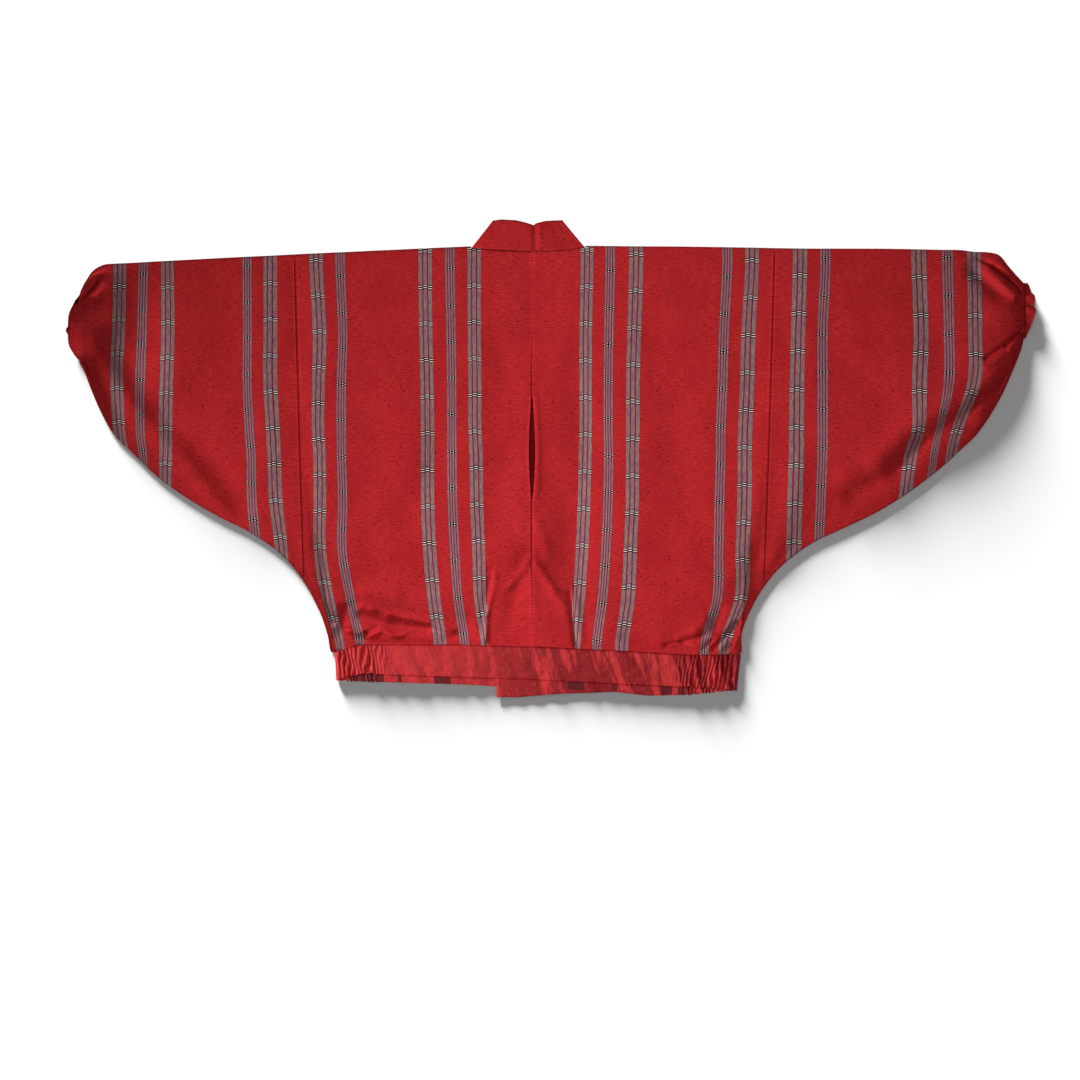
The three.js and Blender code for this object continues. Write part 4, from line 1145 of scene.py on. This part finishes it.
def collar_front(half, radius):
    table = BAND_LEFT if half.sign < 0 else BAND_RIGHT

    def height(x, y):
        return BAND_FLOOR + (climb(x, y) if half.sign > 0 else 0 * x)

    def ends(t):
        foot = lambda x: mix(edge_at(table, x, 1) + SEAM, -4.0, t)
        seam = front_edge(half, foot(0.0)) - half.sign * SEAM
        free = seam - half.sign * COLLAR
        return (seam, foot(seam)), (free, foot(free))

    lines = [collar_line(*ends(t), height) for t in np.linspace(0, 1, 57)]
    seam, free = (np.array(point) for point in ends(1.0))
    foot, tip = (np.array(at[half.sign]) - (half.sign * radius, 0) for at in (COLLAR_FOOT, COLLAR_TIP))
    for t in np.linspace(0, 1, 13)[1:]:
        lines.append(collar_line(mix(seam, foot, t), mix(free, tip, t), lambda x, y: BAND_FLOOR + 0 * x))
    return lines


def collar_fold(half, radius):
    foot, tip = COLLAR_FOOT[half.sign], COLLAR_TIP[half.sign]
    lines = []
    for angle in np.linspace(-np.pi / 2, np.pi / 2, 11)[1:-1]:
        reach = half.sign * radius * (math.cos(angle) - 1)
        z = BAND_FLOOR + radius * (1 + math.sin(angle))
        seam, free = (foot[0] + reach, foot[1]), (tip[0] + reach, tip[1])
        lines.append(collar_line(seam, free, lambda x, y: z + 0 * x))
    return lines


def neck_seam(x):
    half = left if x < 0 else right
    rows = half.rows[: NECK + 1, [TOP_X, TOP_Y]].copy()
    rows[NECK, 1] -= FOLD
    return float(np.interp(abs(x), rows[:, 0], rows[:, 1]))


def collar():
    radius = (FOLD_TOP - BAND_FLOOR) / 2
    back = []
    for t in np.linspace(0, 1, 61):
        seam_x = mix(COLLAR_FOOT[-1][0] + radius, COLLAR_FOOT[1][0] - radius, t)
        top_x = mix(COLLAR_TIP[-1][0] + radius, COLLAR_TIP[1][0] - radius, t)
        arch = FOLD_TOP - 0.4 + 1.2 * math.sin(math.pi * t)

        def height(x, y):
            crease = -1.9 * np.exp(-(((x - 5) / 4) ** 2)) + 0.7 * np.exp(-(((x - 11) / 5) ** 2))
            return arch + crease + 0.35 * np.sin(x / 13 + y / 17)

        top_y = edge_at(COLLAR_TOP, top_x, 1)
        back.append(collar_line((seam_x, neck_seam(seam_x) + SEAM), (top_x, top_y), height))
    lines = collar_front(left, radius) + collar_fold(left, radius) + back
    lines += collar_fold(right, radius)[::-1] + collar_front(right, radius)[::-1]
    return sheet_of("collar_band", [(np.stack(lines), np.zeros(3))], 1.4, PLAIN)


neckband = collar()

# %% [markdown]
# ## Stitches
#
# The collar and the hem band are closed by hand with small slip stitches in red silk. A row of them
# repeats one short thread along a path, which is the work of Geometry Nodes: the path is resampled at
# the stitch pitch, a thread is set on each point along the path's direction, and the copies are made
# real, because an export drops instances.

# %% A row of stitches along a path
def stitch_tree(thread):
    tree = bpy.data.node_groups.new("stitch row", "GeometryNodeTree")
    face = tree.interface
    face.new_socket("Geometry", in_out="INPUT", socket_type="NodeSocketGeometry")
    for label, value in (("Pitch", 0.004), ("Length", 0.0018), ("Thickness", 0.00022)):
        socket = face.new_socket(label, in_out="INPUT", socket_type="NodeSocketFloat")
        socket.default_value = value
    face.new_socket("Geometry", in_out="OUTPUT", socket_type="NodeSocketGeometry")
    new, link = tree.nodes.new, tree.links.new
    start, end = new("NodeGroupInput"), new("NodeGroupOutput")
    path, even = new("GeometryNodeMeshToCurve"), new("GeometryNodeResampleCurve")
    place, thread_shape = new("GeometryNodeInstanceOnPoints"), new("GeometryNodeMeshCylinder")
    turn, way = new("FunctionNodeAlignRotationToVector"), new("GeometryNodeInputTangent")
    real, look = new("GeometryNodeRealizeInstances"), new("GeometryNodeSetMaterial")
    even.mode, turn.axis = "LENGTH", "Z"
    thread_shape.inputs["Vertices"].default_value = 6
    look.inputs["Material"].default_value = thread
    link(start.outputs["Geometry"], path.inputs[0])
    link(path.outputs[0], even.inputs["Curve"])
    link(start.outputs["Pitch"], even.inputs["Length"])
    link(start.outputs["Length"], thread_shape.inputs["Depth"])
    link(start.outputs["Thickness"], thread_shape.inputs["Radius"])
    link(way.outputs[0], turn.inputs["Vector"])
    link(even.outputs[0], place.inputs["Points"])
    link(thread_shape.outputs["Mesh"], place.inputs["Instance"])
    link(turn.outputs[0], place.inputs["Rotation"])
    link(place.outputs[0], real.inputs[0])
    link(real.outputs[0], look.inputs["Geometry"])
    link(look.outputs[0], end.inputs[0])
    return tree


thread_finish = Finish("silk thread", Roughness=0.5)
twist = thread_finish.noise(thread_finish.object_place(), 2.5)
thread_colour = thread_finish.blend(paint(140, 20, 30), paint(176, 36, 44), twist)
THREAD = thread_finish.finish(thread_colour, twist, 0.0001)
STITCHES = stitch_tree(THREAD)


def stitch_row(name, path, pitch):
    mesh = bpy.data.meshes.new(name)
    points = ((np.asarray(path) + ORIGIN) / 1000).tolist()
    mesh.from_pydata(points, [(i, i + 1) for i in range(len(points) - 1)], [])
    obj = new_object(name, mesh)
    modifier = obj.modifiers.new("stitches", "NODES")
    modifier.node_group = STITCHES
    sockets = {item.name: item.identifier for item in STITCHES.interface.items_tree if item.in_out == "INPUT"}
    modifier[sockets["Pitch"]] = pitch / 1000
    finished(obj)
    print(f"{name}: {len(obj.data.polygons)} faces")
    return obj


def collar_stitch_path():
    xs = np.linspace(-80, 70, 60)
    return [(x, neck_seam(x) + 1.2, FOLD_TOP + 0.35 + 1.2 * math.sin(math.pi * (x + 84) / 157)) for x in xs]


def hem_stitch_path():
    x = np.linspace(-205, 205, 180)
    return np.stack([x, edge_at(BAND_BACK, x, 1) - 1.6, hem_level(x) + 0.9], -1)


stitches = [stitch_row("collar_stitches", collar_stitch_path(), 4.2),
            stitch_row("hem_stitches", hem_stitch_path(), 3.8)]

# %% [markdown]
# ## What each piece stands for
#
# Every piece rides on the one rigid body of this model and replaces the plain solid of the same cloth,
# which stays in the physics. For each sheet the rectangle it was cut to is printed, in metres, with the
# area measured on the modelled sheet. Few cuts fill their rectangle. The flat area declared is the one
# measured on the modelled sheet, up to that of the rectangle, so it is no test of the model's own size.

# %% Ride, replace and print the cut
def wear(sheet, node, flat):
    piece, area = sheet
    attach(piece, "root")
    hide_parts(node)
    cut = f"cut {flat[0]:.3f} by {flat[1]:.3f} m"
    print(f"{piece.name} stands for {node}: {cut}, {area:.4f} square metres laid")


for obj in stitches:
    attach(obj, "root")
for half, panel, arm, end in zip(halves, panels, sleeves, cuffs):
    wear(panel, f"body_{half.name}", (0.36, 1.20))
    wear(arm, f"sleeve_{half.name}", (0.40, 0.98))
    wear(end, f"cuff_{half.name}", (0.015, 0.19))
wear(ply, "pleat_underlay", (0.05, 0.60))
wear(band, "hem_band", (0.045, 1.75))
wear(neckband, "collar", (0.05, 1.46))

# %% [markdown]
# ## Floor, light and camera
#
# The floor is plain and pale. A soft lamp hangs over the middle of the jacket, so that its ends and
# shoulders are a little darker, and each half has a low lamp beyond the other one, which draws the folds
# that run down to its outline. On the floor the light comes from the upper left, and the shadow falls at
# the lower right, which a weak sun from straight above lightens. Light linking keeps these lamps
# apart: each names the collection that it falls on. The camera looks straight down from far away, so
# that the jacket is seen with hardly any perspective, and the Standard view keeps the red deep.

# %% Stage
def stage_floor():
    mesh = bpy.data.meshes.new("floor")
    mesh.from_pydata([(-8, -8, 0), (8, -8, 0), (8, 8, 0), (-8, 8, 0)], [], [(0, 1, 2, 3)])
    floor = new_object("floor", mesh)
    look = Finish("pale floor", Roughness=0.9, Specular_IOR_Level=0.0)
    mesh.materials.append(look.finish((0.88, 0.88, 0.88, 1)))
    floor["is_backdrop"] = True
    return floor


def lit_by(name, objects):
    """A collection for the lamps that fall on these objects alone."""
    group = bpy.data.collections.new(name)
    for obj in objects:
        group.objects.link(obj)
    return group


def lamp(kind, name, place, group, energy, **shape):
    """A lamp that looks from its place to the middle of the jacket, and falls on one collection."""
    light = bpy.data.lights.new(name, kind)
    light.energy = energy
    for key, value in shape.items():
        setattr(light, key, value)
    obj = new_object(name, light)
    obj.location = place
    obj.rotation_euler = Vector(place).to_track_quat("Z", "Y").to_euler()
    obj.light_linking.receiver_collection = group
    return obj


floor = stage_floor()
world = bpy.data.worlds.new("studio")
bpy.context.scene.world = world
world.use_nodes = True
world.node_tree.nodes["Background"].inputs[0].default_value = (1, 1, 1, 1)
world.node_tree.nodes["Background"].inputs[1].default_value = 0.12
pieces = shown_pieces()
left_half = [obj for obj in pieces if "left" in obj.name]
right_half = [obj for obj in pieces if obj not in left_half]
for name, place, lit, watts, size in (
    ("jacket", (0.0, -0.12, 1.15), pieces, 6.3, 0.3),
    ("left half", (2.8, -2.2, 1.45), left_half, 190, 0.5),
    ("right half", (-3.4, -0.5, 1.45), right_half, 168, 0.5),
):
    lamp("AREA", f"lamp for the {name}", place, lit_by(name, lit), watts, shape="DISK", size=size)
ground = lit_by("ground", [floor])
lamp("SUN", "floor lamp", (-0.45, 1, 0.25), ground, 12.9, angle=math.radians(16))
lamp("SUN", "floor fill", (0, 0, 1), ground, 0.43, angle=math.radians(40))
bpy.context.scene.view_settings.view_transform = "Standard"

CAMERA_HEIGHT, VIEW_WIDTH, VIEW_CENTRE = 8.0, 1.566, (-0.01535, -0.11825)
camera = bpy.data.cameras.new("camera")
camera.sensor_width, camera.lens = 36, 36 * CAMERA_HEIGHT / VIEW_WIDTH
camera.clip_end = 50
eye = new_object("camera", camera)
eye.location = (*VIEW_CENTRE, CAMERA_HEIGHT)
bpy.context.scene.camera = eye
